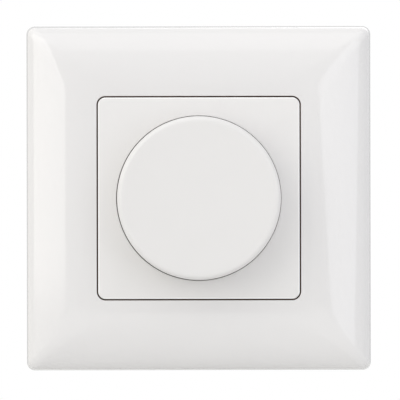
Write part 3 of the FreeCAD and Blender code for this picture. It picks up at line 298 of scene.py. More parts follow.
def finished_mesh(name, shell, crease=SHARP_ANGLE):
    """Turns working geometry into a shown piece, smooth but for its creases."""
    mesh = bpy.data.meshes.new(name)
    shell.to_mesh(mesh)
    shell.free()
    mesh.shade_smooth()
    mesh.set_sharp_from_angle(angle=math.radians(crease))
    piece = bpy.data.objects.new(name, mesh)
    bpy.context.scene.collection.objects.link(piece)
    return piece


def copied(name):
    """A piece with the shape of a carried-over one, each of its flat faces in one."""
    solid = bmesh.new()
    solid.from_mesh(pieces[name].data)
    bmesh.ops.remove_doubles(solid, verts=solid.verts, dist=SAME_POINT * MM)
    bmesh.ops.dissolve_limit(
        solid, angle_limit=math.radians(SAME_PLANE), verts=solid.verts, edges=solid.edges)
    return finished_mesh("eased_" + name, solid, crease=180)


def ease(piece, width):
    """Gives a piece's sharp edges the small radius that tools and tumbling leave."""
    rounding = piece.modifiers.new("rounding", "BEVEL")
    rounding.width = width * MM
    rounding.segments = 2
    rounding.limit_method = "ANGLE"
    rounding.angle_limit = math.radians(SHARP_ANGLE)
    rounding.miter_outer = "MITER_ARC"
    flatness = piece.modifiers.new("flatness", "WEIGHTED_NORMAL")
    flatness.weight = FLAT_FACE_WEIGHT
    rounded = bpy.data.meshes.new_from_object(piece.evaluated_get(bpy.context.evaluated_depsgraph_get()))
    piece.modifiers.clear()
    piece.data = rounded


def settle(piece, finish, name):
    """Puts a piece in the place of a carried-over one, on the same body, in its finish."""
    piece.data.materials.clear()
    piece.data.materials.append(finish)
    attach(piece, next(body for body, carrier in frame["bodies"].items() if carrier == pieces[name].parent))
    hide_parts(name)


def eased(finish, slot, width, *names):
    """Shows carried-over pieces in their finish, their edges rounded by a width in millimetres."""
    for name in names:
        piece = copied(name)
        ease(piece, width)
        settle(piece, finish, name)


bright_zinc = metal("bright_zinc", (0.62, 0.64, 0.67), (0.46, 0.47, 0.47), 0.30, bloom=0.8, unevenness=0.16)
eased(bright_zinc, "zinc_steel", 0.12, "support_plate", "plate_screws")

# Housing: two injection-moulded halves that snap together, the front one light grey and the rear one
# dark grey, both spark-eroded matt. Vent slots pierce the rear half at both sides and are sunk into
# its back, which also has a shallow blank recess and four sink marks.
GRAIN_HEIGHT = 0.03
VENT_WIDTH = 1.1
VENT_DEPTH = 1.8
BACK_LEVEL = -23.0
BACK_VENTS = [3.0 * step for step in range(-3, 4)]
BACK_VENT_LOW = 0.5
BACK_VENT_HIGH = 12.5
SIDE_VENTS = [2.6 * step for step in range(-2, 3)]
SIDE_VENT_BACK = -20.6
SIDE_VENT_FRONT = -15.6
SIDE_INSIDE = 21.9
SIDE_OUTSIDE = 24.6
RECESS_HALF = 11.0
RECESS_LOW = -9.6
RECESS_HIGH = -3.4
RECESS_DEPTH = 0.25
SINK_MARKS = ((-14, 14), (14, 14), (-14, -8.5), (14, -8.5))
SINK_RADIUS = 1.7
SINK_DEPTH = 0.12
SINK_STEPS = 16
REAR_EDGE = 0.3
CUT_EDGE = 0.05
PAST_FACE = 1.0

moulded_skin, given, made = new_effect(
    "moulded_skin",
    {"Color": (0.5, 0.5, 0.5, 1), "Flow Color": (0.5, 0.5, 0.5, 1), "Grain": 6.0, "Depth": 0.3,
     "Roughness": 0.5, "Unevenness": 0.1},
    ("Color", "Roughness", "Normal"))
flow = put(moulded_skin, "ShaderNodeTexNoise", {
    "Vector": millimetres(moulded_skin), "Scale": 0.09, "Detail": 3.0})
flowed = mixed(moulded_skin, flow.outputs["Fac"], given["Color"], given["Flow Color"])
feed(moulded_skin, made["Color"], flowed)
sheen = put(moulded_skin, "ShaderNodeTexNoise", {
    "Vector": millimetres(moulded_skin), "Scale": 0.25, "Detail": 4.0})
dullness = about(moulded_skin, given["Roughness"], given["Unevenness"], sheen.outputs["Fac"])
feed(moulded_skin, made["Roughness"], dullness)
pimples = put(moulded_skin, "ShaderNodeTexNoise", {
    "Vector": millimetres(moulded_skin), "Scale": given["Grain"], "Detail": 2.0})
raised = put(moulded_skin, "ShaderNodeBump", {
    "Height": pimples.outputs["Fac"], "Strength": given["Depth"], "Distance": GRAIN_HEIGHT * MM})
feed(moulded_skin, made["Normal"], raised.outputs["Normal"])


def moulding(name, color, flow_color, roughness, **amounts):
    """A moulded plastic: faint flow marks, uneven sheen and the grain of its tool."""
    finish, tree, surface = new_finish(name)
    skin = put(tree, "ShaderNodeGroup", node_tree=moulded_skin)
    feed(tree, skin.inputs["Color"], (*color, 1))
    feed(tree, skin.inputs["Flow Color"], (*flow_color, 1))
    feed(tree, skin.inputs["Roughness"], roughness)
    for socket, amount in amounts.items():
        feed(tree, skin.inputs[socket.title()], amount)
    feed(tree, surface.inputs["Base Color"], skin.outputs["Color"])
    feed(tree, surface.inputs["Roughness"], skin.outputs["Roughness"])
    feed(tree, surface.inputs["Normal"], skin.outputs["Normal"])
    return finish


front_grey = moulding("front_grey", (0.66, 0.66, 0.64), (0.60, 0.60, 0.58), 0.5, grain=5.0, depth=0.5)
rear_grey = moulding("rear_grey", (0.075, 0.079, 0.084), (0.060, 0.063, 0.067), 0.52, grain=5.0, depth=0.6)
eased(front_grey, "front_moulding", 0.2, "front_housing")


def oblong(left, right, low, high):
    """The outline of an upright rectangle."""
    return [(left, low), (right, low), (right, high), (left, high)]


def stadium(middle, low, high, width, steps=7):
    """The outline of an upright slot with round ends; with both ends alike, a circle."""
    outline = []
    for end, first in ((high - width / 2, 0), (low + width / 2, 180)):
        for step in range(steps + 1):
            angle = math.radians(first + 180 * step / steps)
            outline.append((middle + width / 2 * math.cos(angle), end + width / 2 * math.sin(angle)))
    if high - low <= width:
        outline = outline[:steps] + outline[steps + 1:-1]
    return outline


def prism(outline, axis, low, high):
    """A working solid along an axis, from one place on it to another.

    The outline's points are (z, level) along X, (x, z) along Y and (x, level) along Z. Along Y, both
    places are levels.
    """
    place = {"X": lambda first, second, depth: (depth, -second, first),
             "Y": lambda first, second, depth: (first, -depth, second),
             "Z": lambda first, second, depth: (first, -second, depth)}[axis]
    block = bmesh.new()
    ends = []
    for depth in (low, high):
        ends.append([block.verts.new(Vector(place(first, second, depth)) * MM) for first, second in outline])
    block.faces.new(ends[0])
    block.faces.new(ends[1])
    for index in range(len(outline)):
        after = (index + 1) % len(outline)
        block.faces.new((ends[0][index], ends[0][after], ends[1][after], ends[1][index]))
    bmesh.ops.recalc_face_normals(block, faces=block.faces)
    return block


def gather(whole, part):
    """Adds a working solid to a larger one."""
    mesh = bpy.data.meshes.new("part")
    part.to_mesh(mesh)
    part.free()
    whole.from_mesh(mesh)
    bpy.data.meshes.remove(mesh)


def combine(piece, blocks, operation="UNION", crease=SHARP_ANGLE):
    """Joins working solids to a piece, or cuts them from it, so that one clean skin is left."""
    together = bmesh.new()
    for block in blocks:
        gather(together, block)
    tool = finished_mesh("tool", together)
    step = piece.modifiers.new("step", "BOOLEAN")
    step.operation = operation
    step.solver = "EXACT"
    step.object = tool
    joined = bpy.data.meshes.new_from_object(piece.evaluated_get(bpy.context.evaluated_depsgraph_get()))
    piece.modifiers.clear()
    bpy.data.objects.remove(tool)
    joined.shade_smooth()
    joined.set_sharp_from_angle(angle=math.radians(crease))
    piece.data = joined


def sunk_behind(outline, depth):
    """A cutter that goes into the back of the housing by a depth."""
    return prism(outline, "Y", BACK_LEVEL - PAST_FACE, BACK_LEVEL + depth)


rear_half = copied("rear_housing")
ease(rear_half, REAR_EDGE)
cuts = [sunk_behind(stadium(across, BACK_VENT_LOW, BACK_VENT_HIGH, VENT_WIDTH), VENT_DEPTH)
        for across in BACK_VENTS]
for side in (-1, 1):
    reach = sorted((side * SIDE_INSIDE, side * SIDE_OUTSIDE))
    cuts += [prism(stadium(along, SIDE_VENT_BACK, SIDE_VENT_FRONT, VENT_WIDTH), "X", *reach)
             for along in SIDE_VENTS]
cuts.append(sunk_behind(oblong(-RECESS_HALF, RECESS_HALF, RECESS_LOW, RECESS_HIGH), RECESS_DEPTH))
for across, up in SINK_MARKS:
    outline = stadium(across, up - SINK_RADIUS, up + SINK_RADIUS, 2 * SINK_RADIUS, SINK_STEPS)
    cuts.append(sunk_behind(outline, SINK_DEPTH))
combine(rear_half, cuts, "DIFFERENCE", crease=180)
ease(rear_half, CUT_EDGE)
settle(rear_half, rear_grey, "rear_housing")

# Potentiometer: nickel-plated brass bush, drawn steel case, brown laminate wafer with tinned pins,
# a natural plastic wiper disc, and a turned steel spindle with its collar and flats. The bush's
# thread, which the nut runs on, is cut as a helix between its flange and its chamfer.
nickel = metal("nickel", (0.66, 0.63, 0.57), (0.52, 0.49, 0.43), 0.22, bloom=0.5, unevenness=0.12)
drawn_steel = metal("drawn_steel", (0.55, 0.56, 0.58), (0.44, 0.44, 0.45), 0.34, bloom=0.6)
turned_steel = metal("turned_steel", (0.58, 0.58, 0.59), (0.50, 0.50, 0.50), 0.20, scratch_depth=0.5)
tinned = metal("tinned", (0.72, 0.72, 0.70), (0.58, 0.58, 0.56), 0.38, bloom=0.7)
natural_plastic = moulding("natural_plastic", (0.76, 0.73, 0.64), (0.70, 0.67, 0.58), 0.42, grain=4.0)
eased(drawn_steel, "zinc_steel", 0.2, "pot_case")
eased(turned_steel, "spindle_steel", 0.12, "pot_shaft")
eased(tinned, "tinned_pins", 0.08, "pot_pins")
eased(natural_plastic, "plunger_moulding", 0.12, "wiper_disc")

BUSH_BORE = 3.05
BUSH_RADIUS = 5.0
BUSH_CHAMFER = 0.4
BUSH_FLANGE_RADIUS = 7.0
BUSH_FLANGE_CHAMFER = 0.15
BUSH_FRONT = 10.0
BUSH_FLANGE_FRONT = 1.6
BUSH_FLANGE_BACK = 0.6
BUSH_COUNTERBORE = 4.3
BUSH_COLLAR_SEAT = 2.6
BUSH_SPIGOT = 4.95
BUSH_SIDES = 72
THREAD_PITCH = 0.75
THREAD_DEPTH = 0.36
THREAD_CREST = 0.15
THREAD_FLANK = 0.7
THREAD_STEPS = 6


def turned(profile, around, centre=(0, 0), shaped=None):
    """A closed working solid turned about an axis out of the wall.

    The profile's points are (radius, level). A shaping function may move each of them by its angle.
    """
    shell = bmesh.new()
    rows = []
    for radius, level in profile:
        if radius == 0:
            rows.append([shell.verts.new(Vector((centre[0], -level, centre[1])) * MM)])
            continue
        row = []
        for step in range(around):
            angle = math.tau * step / around
            across, up = radius * math.cos(angle), radius * math.sin(angle)
            if shaped:
                across, up = shaped(radius, level, angle)
            row.append(shell.verts.new(Vector((centre[0] + across, -level, centre[1] + up)) * MM))
        rows.append(row)
    following_rows = rows[1:] if profile[0][0] == 0 else rows[1:] + rows[:1]
    for row, following in zip(rows, following_rows):
        for step in range(around):
            after = (step + 1) % around
            corners = [row[0 if len(row) == 1 else step], following[0 if len(following) == 1 else step]]
            if len(following) > 1:
                corners.append(following[after])
            if len(row) > 1:
                corners.append(row[after])
            shell.faces.new(corners)
    bmesh.ops.recalc_face_normals(shell, faces=shell.faces)
    return shell


def threaded(radius, level, angle):
    """Cuts a helical thread into the bush between its flange and its chamfer."""
    if radius == BUSH_RADIUS:
        height = abs(2 * ((level / THREAD_PITCH - angle / math.tau) % 1) - 1)
        radius -= THREAD_DEPTH * min(1, max(0, (height - THREAD_CREST) / THREAD_FLANK))
    return radius * math.cos(angle), radius * math.sin(angle)


bush_profile = [(BUSH_BORE, BUSH_FRONT), (BUSH_RADIUS - BUSH_CHAMFER, BUSH_FRONT)]
level = BUSH_FRONT - BUSH_CHAMFER
while level > BUSH_FLANGE_FRONT:
    bush_profile.append((BUSH_RADIUS, level))
    level -= THREAD_PITCH / THREAD_STEPS
bush_profile += [
    (BUSH_RADIUS - THREAD_DEPTH, BUSH_FLANGE_FRONT),
    (BUSH_FLANGE_RADIUS - BUSH_FLANGE_CHAMFER, BUSH_FLANGE_FRONT),
    (BUSH_FLANGE_RADIUS, BUSH_FLANGE_FRONT - BUSH_FLANGE_CHAMFER),
    (BUSH_FLANGE_RADIUS, BUSH_FLANGE_BACK),
    (BUSH_SPIGOT, BUSH_FLANGE_BACK),
    (BUSH_SPIGOT, 0),
    (BUSH_COUNTERBORE, 0),
    (BUSH_COUNTERBORE, BUSH_COLLAR_SEAT),
    (BUSH_BORE, BUSH_COLLAR_SEAT),
]
threaded_bush = finished_mesh("threaded_bush", turned(bush_profile, BUSH_SIDES, shaped=threaded))
settle(threaded_bush, nickel, "pot_bush")

wafer_laminate, tree, surface = new_finish("wafer_laminate")
layers = put(tree, "ShaderNodeTexNoise", {
    "Vector": millimetres(tree, (0.4, 8, 0.4)), "Scale": 1.0, "Detail": 4.0})
brown = mixed(tree, layers.outputs["Fac"], (0.16, 0.075, 0.03, 1), (0.25, 0.13, 0.055, 1))
feed(tree, surface.inputs["Base Color"], brown)
feed(tree, surface.inputs["Roughness"], about(tree, 0.45, 0.2, layers.outputs["Fac"]))
eased(wafer_laminate, "wafer_laminate", 0.06, "pot_wafer")

# Push switch: a charcoal moulded body with tinned pins and a natural plastic plunger. A coil spring
# of drawn wire with closed ends stands round the plunger, the one that pushing the knob squeezes, here at
# rest.
charcoal = moulding("charcoal", (0.030, 0.032, 0.036), (0.022, 0.024, 0.027), 0.4, grain=4.0)
spring_wire = metal("spring_wire", (0.50, 0.51, 0.53), (0.40, 0.40, 0.42), 0.24, unevenness=0.16)
eased(charcoal, "switch_moulding", 0.2, "switch_body")
eased(natural_plastic, "plunger_moulding", 0.12, "switch_plunger")
eased(tinned, "tinned_pins", 0.08, "switch_pins")

SPRING_BACK = -8.92
SPRING_FRONT = -5.58
SPRING_RADIUS = 2.9
SPRING_THICKNESS = 0.4
SPRING_TURNS = 3.8
CLOSED_TURNS = 0.8
CLOSED_SPACING = 1.05
STEPS_A_TURN = 40
WIRE_CREASE = 50


def strand(name, path, thickness, sides=3):
    """A round wire with closed ends along a path of points in millimetres."""
    line = bpy.data.curves.new(name, "CURVE")
    line.dimensions = "3D"
    line.bevel_depth = thickness / 2 * MM
    line.bevel_resolution = sides
    line.use_fill_caps = True
    run = line.splines.new("POLY")
    run.points.add(len(path) - 1)
    for point, place in zip(run.points, path):
        point.co = (*(Vector(place) * MM), 1)
    guide = bpy.data.objects.new(name, line)
    tube = bmesh.new()
    tube.from_mesh(bpy.data.meshes.new_from_object(guide))
    bpy.data.objects.remove(guide)
    bmesh.ops.remove_doubles(tube, verts=tube.verts, dist=0.001 * MM)
    bmesh.ops.recalc_face_normals(tube, faces=tube.faces)
    return tube


coils = []
climb = SPRING_FRONT - SPRING_BACK - SPRING_THICKNESS
closed_climb = CLOSED_TURNS * SPRING_THICKNESS * CLOSED_SPACING
for step in range(round(SPRING_TURNS * STEPS_A_TURN) + 1):
    turns = step / STEPS_A_TURN
    open_share = (turns - CLOSED_TURNS) / (SPRING_TURNS - 2 * CLOSED_TURNS)
    if turns < CLOSED_TURNS:
        risen = closed_climb * turns / CLOSED_TURNS
    elif turns > SPRING_TURNS - CLOSED_TURNS:
        risen = climb - closed_climb * (SPRING_TURNS - turns) / CLOSED_TURNS
    else:
        risen = closed_climb + (climb - 2 * closed_climb) * open_share
    coils.append((SPRING_RADIUS * math.cos(math.tau * turns), -(SPRING_BACK + SPRING_THICKNESS / 2 + risen),
                  SPRING_RADIUS * math.sin(math.tau * turns)))
coil_spring = finished_mesh("coil_spring", strand("coil_spring", coils, SPRING_THICKNESS), crease=WIRE_CREASE)
settle(coil_spring, spring_wire, "return_spring")
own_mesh(coil_spring)

# Circuit boards: glass laminate under green solder mask. The copper left between the etched gaps
# shows through as slightly raised, lighter fields, and the sawn edges show the bare laminate.
MASK_OVER_GAP = (0.008, 0.06, 0.022, 1)
MASK_OVER_COPPER = (0.022, 0.15, 0.055, 1)
BARE_LAMINATE = (0.32, 0.33, 0.16, 1)
COPPER_HEIGHT = 0.05

solder_mask, tree, surface = new_finish("solder_mask")
flat = put(tree, "ShaderNodeMapping", {"Vector": millimetres(tree)})
flat.inputs["Rotation"].default_value = (math.radians(90), 0, math.radians(3))
fields = {"Vector": flat.outputs["Vector"], "Scale": 0.27, "Randomness": 0.85}
square = {"voronoi_dimensions": "2D", "distance": "CHEBYCHEV"}
nearest = put(tree, "ShaderNodeTexVoronoi", fields, **square, feature="F1")
second = put(tree, "ShaderNodeTexVoronoi", fields, **square, feature="F2")
between = put(tree, "ShaderNodeMath", {
    0: second.outputs["Distance"], 1: nearest.outputs["Distance"]}, operation="SUBTRACT")
copper_left = put(tree, "ShaderNodeMapRange", {
    "Value": between.outputs[0], "From Min": 0.06, "From Max": 0.1})
green = mixed(tree, copper_left.outputs[0], MASK_OVER_GAP, MASK_OVER_COPPER)
shape = put(tree, "ShaderNodeTexCoord")
facing = put(tree, "ShaderNodeSeparateXYZ", {0: shape.outputs["Normal"]})
flatness = put(tree, "ShaderNodeMath", {0: facing.outputs["Y"]}, operation="ABSOLUTE")
on_face = put(tree, "ShaderNodeMapRange", {"Value": flatness.outputs[0], "From Min": 0.4, "From Max": 0.6})
feed(tree, surface.inputs["Base Color"], mixed(tree, on_face.outputs[0], BARE_LAMINATE, green))
glaze = put(tree, "ShaderNodeTexNoise", {"Vector": millimetres(tree), "Scale": 0.6, "Detail": 3.0})
feed(tree, surface.inputs["Roughness"], about(tree, 0.3, 0.15, glaze.outputs["Fac"]))
track_height = put(tree, "ShaderNodeBump", {
    "Height": copper_left.outputs[0], "Strength": 0.6, "Distance": COPPER_HEIGHT * MM})
feed(tree, surface.inputs["Normal"], track_height.outputs["Normal"])
eased(solder_mask, "board_laminate", 0.05, "control_board", "power_board")

# Solder: bright tin alloy, a small concave cone round each pin of the potentiometer and of the push
# switch, where it comes through the back of the control board.
SOLDER_FOOT = -5.2
SOLDER_TIP = -5.75
SOLDER_SIDES = 28
POT_PIN_ROW = [(across, -6.5) for across in (-5, 0, 5)]
SWITCH_PIN_ROWS = [(across, up) for up in (-9.2, 9.2) for across in (-5, 5)]
JOINT_PROFILE = [
    (0, SOLDER_FOOT + 0.05), (0.95, SOLDER_FOOT + 0.05), (0.95, SOLDER_FOOT - 0.03),
    (0.72, SOLDER_FOOT - 0.12), (0.55, SOLDER_FOOT - 0.28), (0.45, SOLDER_TIP + 0.06),
    (0.32, SOLDER_TIP), (0, SOLDER_TIP)]

tinned_joint = metal("tinned_joint", (0.70, 0.70, 0.69), (0.56, 0.56, 0.55), 0.24, bloom=0.5)
joints = bmesh.new()
for place in POT_PIN_ROW + SWITCH_PIN_ROWS:
    gather(joints, turned(JOINT_PROFILE, SOLDER_SIDES, place))
solder_joints = finished_mesh("solder_joints", joints, crease=60)
solder_joints.data.materials.append(tinned_joint)
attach(solder_joints, "base")

# Parts on the boards: black moulded packages, the choke's ferrite ring, a yellow box capacitor, a
# blue dipped varistor, an aluminium plate, and two aluminium cans in crimped sleeves, whose lids
# are scored crosswise as vents.
package_black = moulding("package_black", (0.018, 0.018, 0.020), (0.013, 0.013, 0.014), 0.46,
                         grain=8.0, depth=0.5)
capacitor_yellow = moulding("capacitor_yellow", (0.62, 0.38, 0.02), (0.56, 0.34, 0.018), 0.24, depth=0.1)
can_sleeve = moulding("can_sleeve", (0.020, 0.022, 0.032), (0.016, 0.018, 0.026), 0.26, depth=0.15)
varistor_blue = moulding("varistor_blue", (0.015, 0.08, 0.26), (0.012, 0.065, 0.22), 0.22,
                         grain=1.5, depth=0.8)
ferrite = moulding("ferrite", (0.040, 0.040, 0.043), (0.028, 0.028, 0.030), 0.62, grain=9.0, depth=0.9)
rolled_aluminium = metal("rolled_aluminium", (0.76, 0.77, 0.78), (0.66, 0.67, 0.68), 0.32, scratch_depth=0.6)
eased(package_black, "black_moulding", 0.12, "controller_chip", "power_transistors", "board_header")
eased(tinned, "tinned_pins", 0.08, "header_pins")
eased(capacitor_yellow, "film_yellow", 0.3, "film_capacitor")
eased(varistor_blue, "varistor_coat", 0.4, "varistor")
eased(ferrite, "ferrite", 0.4, "choke_core")
eased(rolled_aluminium, "bare_aluminium", 0.12, "heat_spreader")

CANS = ((6.3, 15.8), (12.9, 12.65))
CAN_RADIUS = 3.15
CAN_FRONT = -9.0
CAN_FOOT = -18.0
CAN_HEEL = 0.15
CAN_SHOULDER = ((0.35, 0), (0.1, 0.12), (0, 0.4))
CAN_SIDES = 64
CRIMP_LEVEL = CAN_FOOT + 1.3
CRIMP = ((0, 0.6), (0.12, 0.3), (0.3, 0.1), (0.3, -0.1), (0.12, -0.3), (0, -0.6))
LIP_WIDTH = 0.12
LIP_HEIGHT = 0.08
LID_SEAT = CAN_FRONT - 0.3
LID_RADIUS = 2.3
LID_FRONT = CAN_FRONT - 0.12
LID_BACK = CAN_FRONT - 0.34
LID_EDGE = (0.1, 0.08)
SCORE_LENGTH = 3.2
SCORE_WIDTH = 0.2
SCORE_DEPTH = 0.07

sleeve_profile = [
    (0, LID_SEAT), (LID_RADIUS, LID_SEAT),
    (LID_RADIUS, CAN_FRONT - LIP_HEIGHT), (LID_RADIUS + LIP_WIDTH, CAN_FRONT)]
sleeve_profile += [(CAN_RADIUS - inward, CAN_FRONT - back) for inward, back in CAN_SHOULDER]
sleeve_profile += [(CAN_RADIUS - depth, CRIMP_LEVEL + height) for depth, height in CRIMP]
sleeve_profile += [(CAN_RADIUS, CAN_FOOT + CAN_HEEL), (CAN_RADIUS - CAN_HEEL, CAN_FOOT), (0, CAN_FOOT)]
lid_profile = [
    (0, LID_FRONT), (LID_RADIUS - LID_EDGE[0], LID_FRONT), (LID_RADIUS, LID_FRONT - LID_EDGE[1]),
    (LID_RADIUS, LID_BACK), (0, LID_BACK)]
sleeves = bmesh.new()
lids = bmesh.new()
scores = []
for across, up in CANS:
    gather(sleeves, turned(sleeve_profile, CAN_SIDES, (across, up)))
    gather(lids, turned(lid_profile, CAN_SIDES, (across, up)))
    for width, height in ((SCORE_LENGTH / 2, SCORE_WIDTH / 2), (SCORE_WIDTH / 2, SCORE_LENGTH / 2)):
        outline = oblong(across - width, across + width, up - height, up + height)
        scores.append(prism(outline, "Y", LID_FRONT - SCORE_DEPTH, CAN_FRONT))
can_sleeves = finished_mesh("can_sleeves", sleeves, crease=50)
settle(can_sleeves, can_sleeve, "electrolytic_capacitors")
can_lids = finished_mesh("can_lids", lids)
for score in scores:
    combine(can_lids, [score], "DIFFERENCE")
can_lids.data.materials.clear()
can_lids.data.materials.append(rolled_aluminium)
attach(can_lids, "base")

# Windings of the choke: two lengths of enamelled copper wire, each wound turn by turn round its half
# of the ferrite ring, with both ends led down to the power board.
CHOKE_CENTRE = (-14.0, 6.0)
CHOKE_BORE = 3.0
CHOKE_RADIUS = 4.9
CHOKE_BACK = -17.2
CHOKE_FRONT = -12.2
WIRE_THICKNESS = 0.56
WIRE_CLEARANCE = 0.06
WIRE_TURNS = 11
WOUND_FROM = (34, 214)
WOUND_DEGREES = 142
BEND_STEPS = 4
BOARD_FACE = -18.1
LAST_END = CHOKE_RADIUS + 0.1
VARNISH_DARKER = (0.46, 0.14, 0.04, 1)
VARNISH_PALER = (0.66, 0.25, 0.09, 1)

enamelled_wire, tree, surface = new_finish("enamelled_wire")
varnish = put(tree, "ShaderNodeTexNoise", {"Vector": millimetres(tree), "Scale": 1.3, "Detail": 4.0})
copper = mixed(tree, varnish.outputs["Fac"], VARNISH_DARKER, VARNISH_PALER)
feed(tree, surface.inputs["Base Color"], copper)
surface.inputs["Metallic"].default_value = 1.0
surface.inputs["Coat Weight"].default_value = 0.5
feed(tree, surface.inputs["Roughness"], about(tree, 0.26, 0.14, varnish.outputs["Fac"]))

lift = WIRE_THICKNESS / 2 + WIRE_CLEARANCE
one_turn = []
for quarter, (radius, level) in enumerate((
        (CHOKE_RADIUS, CHOKE_FRONT), (CHOKE_BORE, CHOKE_FRONT),
        (CHOKE_BORE, CHOKE_BACK), (CHOKE_RADIUS, CHOKE_BACK))):
    for step in range(BEND_STEPS + 1):
        angle = math.radians(90 * quarter + 90 * step / BEND_STEPS)
        one_turn.append((radius + lift * math.cos(angle), level + lift * math.sin(angle)))
places = one_turn * WIRE_TURNS
places = [(CHOKE_RADIUS + lift, BOARD_FACE), *places[:-BEND_STEPS], (LAST_END, BOARD_FACE)]
windings = bmesh.new()
for start in WOUND_FROM:
    path = []
    for index, (radius, level) in enumerate(places):
        angle = math.radians(start + WOUND_DEGREES * index / len(places))
        path.append((CHOKE_CENTRE[0] + radius * math.cos(angle), -level,
                     CHOKE_CENTRE[1] + radius * math.sin(angle)))
    gather(windings, strand("winding", path, WIRE_THICKNESS, sides=2))
wire_windings = finished_mesh("wire_windings", windings, crease=WIRE_CREASE)
settle(wire_windings, enamelled_wire, "choke_winding")

# Terminals: black insulating blocks that hold square brass clamps, each closed by a slotted,
# zinc-plated screw.
terminal_black = moulding("terminal_black", (0.014, 0.014, 0.015), (0.010, 0.010, 0.011), 0.42, grain=5.0)
clamp_brass = metal("clamp_brass", (0.72, 0.50, 0.20), (0.52, 0.33, 0.12), 0.28, bloom=0.7, unevenness=0.16)
eased(terminal_black, "terminal_moulding", 0.25, "terminal_bodies")
eased(clamp_brass, "bare_brass", 0.1, "terminal_cages")
eased(bright_zinc, "zinc_steel", 0.08, "terminal_screws")

# Cover frame: one hollow moulding in high-gloss white plastic. Its four sides rise in a quarter
# ellipse and meet in mitres that fade out towards the middle; a collar behind carries the ledge on
# which the centre plate sits, and ribs brace the collar against the shell.
RIM_HALF = 42.5
SHOULDER_HALF = 42.2
SHOULDER_LEVEL = 3.5
FRONT_LEVEL = 9.5
RIM_CORNER = 2.0
CROWN_CORNER = 12.0
MITRE_HOLD = 2.5
WALL = 2.0
HOLLOW_CORNER = 0.6
OPENING_HALF = 25.15
OPENING_CORNER = 2.15
OPENING_ROUND = 0.18
LEDGE_HALF = OPENING_HALF - 1.95
LEDGE_FRONT = 5.0
LEDGE_BACK = 3.8
COLLAR_HALF = OPENING_HALF + WALL
COLLAR_BACK = 1.0
RIB_PITCH = 18.0
RIB_THICKNESS = 1.2
RIB_BACK = 1.6
RIB_CROWN_ANGLES = (0, 20, 45, 70, 90)
DOME_STEPS = 56
OUTER_DOME_END = 86
INNER_DOME_END = 80
CORNER_STEPS = 18
SIDE_STEPS = 26


def square_ring(half, corner, level):
    """Points round a square with rounded corners, at a level out of the wall, in millimetres."""
    ring = []
    core = half - corner
    corners = ((core, core), (-core, core), (-core, -core), (core, -core))
    for quarter, (across, up) in enumerate(corners):
        for step in range(CORNER_STEPS + 1):
            angle = math.radians(90 * (quarter + step / CORNER_STEPS))
            ring.append((across + corner * math.cos(angle), level, up + corner * math.sin(angle)))
        run_across, run_up = corners[(quarter + 1) % 4]
        for step in range(1, SIDE_STEPS):
            share = step / SIDE_STEPS
            ring.append((ring[-step][0] + (run_across - across) * share, level,
                         ring[-step][2] + (run_up - up) * share))
    return ring


def round_ring(radius, level, guide):
    """Points on a circle, one in the direction of each point of another ring."""
    return [(radius * x / math.hypot(x, z), level, radius * z / math.hypot(x, z)) for x, _, z in guide]


def skin(name, rings):
    """A closed mesh whose skin runs through rings of points, the last ring back to the first."""
    shell = bmesh.new()
    rows = [[shell.verts.new((x * MM, -level * MM, z * MM)) for x, level, z in ring] for ring in rings]
    for row, following in zip(rows, rows[1:] + rows[:1]):
        for index in range(len(row)):
            after = (index + 1) % len(row)
            shell.faces.new((row[index], row[after], following[after], following[index]))
    bmesh.ops.recalc_face_normals(shell, faces=shell.faces)
    return finished_mesh(name, shell)


def dome_rings(run, rise, edge_corner, crown_corner, first, last):
    """Rings up a quarter-ellipse dome, from one angle of the ellipse to another."""
    rings = []
    for step in range(DOME_STEPS + 1):
        angle = math.radians(first + (last - first) * step / DOME_STEPS)
        corner = edge_corner + (crown_corner - edge_corner) * (1 - math.cos(angle)) ** MITRE_HOLD
        rings.append(square_ring(
            COLLAR_HALF + run * math.cos(angle), corner, SHOULDER_LEVEL + rise * math.sin(angle)))
    return rings


def rounded_in(half, corner, level, radius, steps=5):
    """Rings over a small outside round, from a flat front down into a square opening."""
    rings = []
    for step in range(steps + 1):
        angle = math.radians(90 * step / steps)
        back = radius * (1 - math.sin(angle))
        rings.append(square_ring(half + back, corner + back, level - radius * (1 - math.cos(angle))))
    return rings


dome_run = SHOULDER_HALF - COLLAR_HALF
dome_rise = FRONT_LEVEL - SHOULDER_LEVEL
hollow_run = dome_run - WALL
hollow_rise = dome_rise - WALL
hollow_top = SHOULDER_LEVEL + hollow_rise * math.sin(math.radians(INNER_DOME_END))
frame_rings = [square_ring(RIM_HALF, RIM_CORNER, 0)]
frame_rings += dome_rings(dome_run, dome_rise, RIM_CORNER, CROWN_CORNER, 0, OUTER_DOME_END)
frame_rings += rounded_in(OPENING_HALF, OPENING_CORNER, FRONT_LEVEL, OPENING_ROUND)
frame_rings += [
    square_ring(OPENING_HALF, OPENING_CORNER, LEDGE_FRONT),
    square_ring(LEDGE_HALF, OPENING_CORNER, LEDGE_FRONT),
    square_ring(LEDGE_HALF, OPENING_CORNER, LEDGE_BACK),
    square_ring(OPENING_HALF, OPENING_CORNER, LEDGE_BACK),
    square_ring(OPENING_HALF, OPENING_CORNER, COLLAR_BACK),
    square_ring(COLLAR_HALF, OPENING_CORNER + WALL, COLLAR_BACK),
    square_ring(COLLAR_HALF, OPENING_CORNER + WALL, hollow_top),
]
frame_rings += dome_rings(hollow_run, hollow_rise, HOLLOW_CORNER, CROWN_CORNER - WALL, INNER_DOME_END, 0)
frame_rings += [square_ring(SHOULDER_HALF - WALL, HOLLOW_CORNER, 0)]
gloss_frame = skin("gloss_frame", frame_rings)

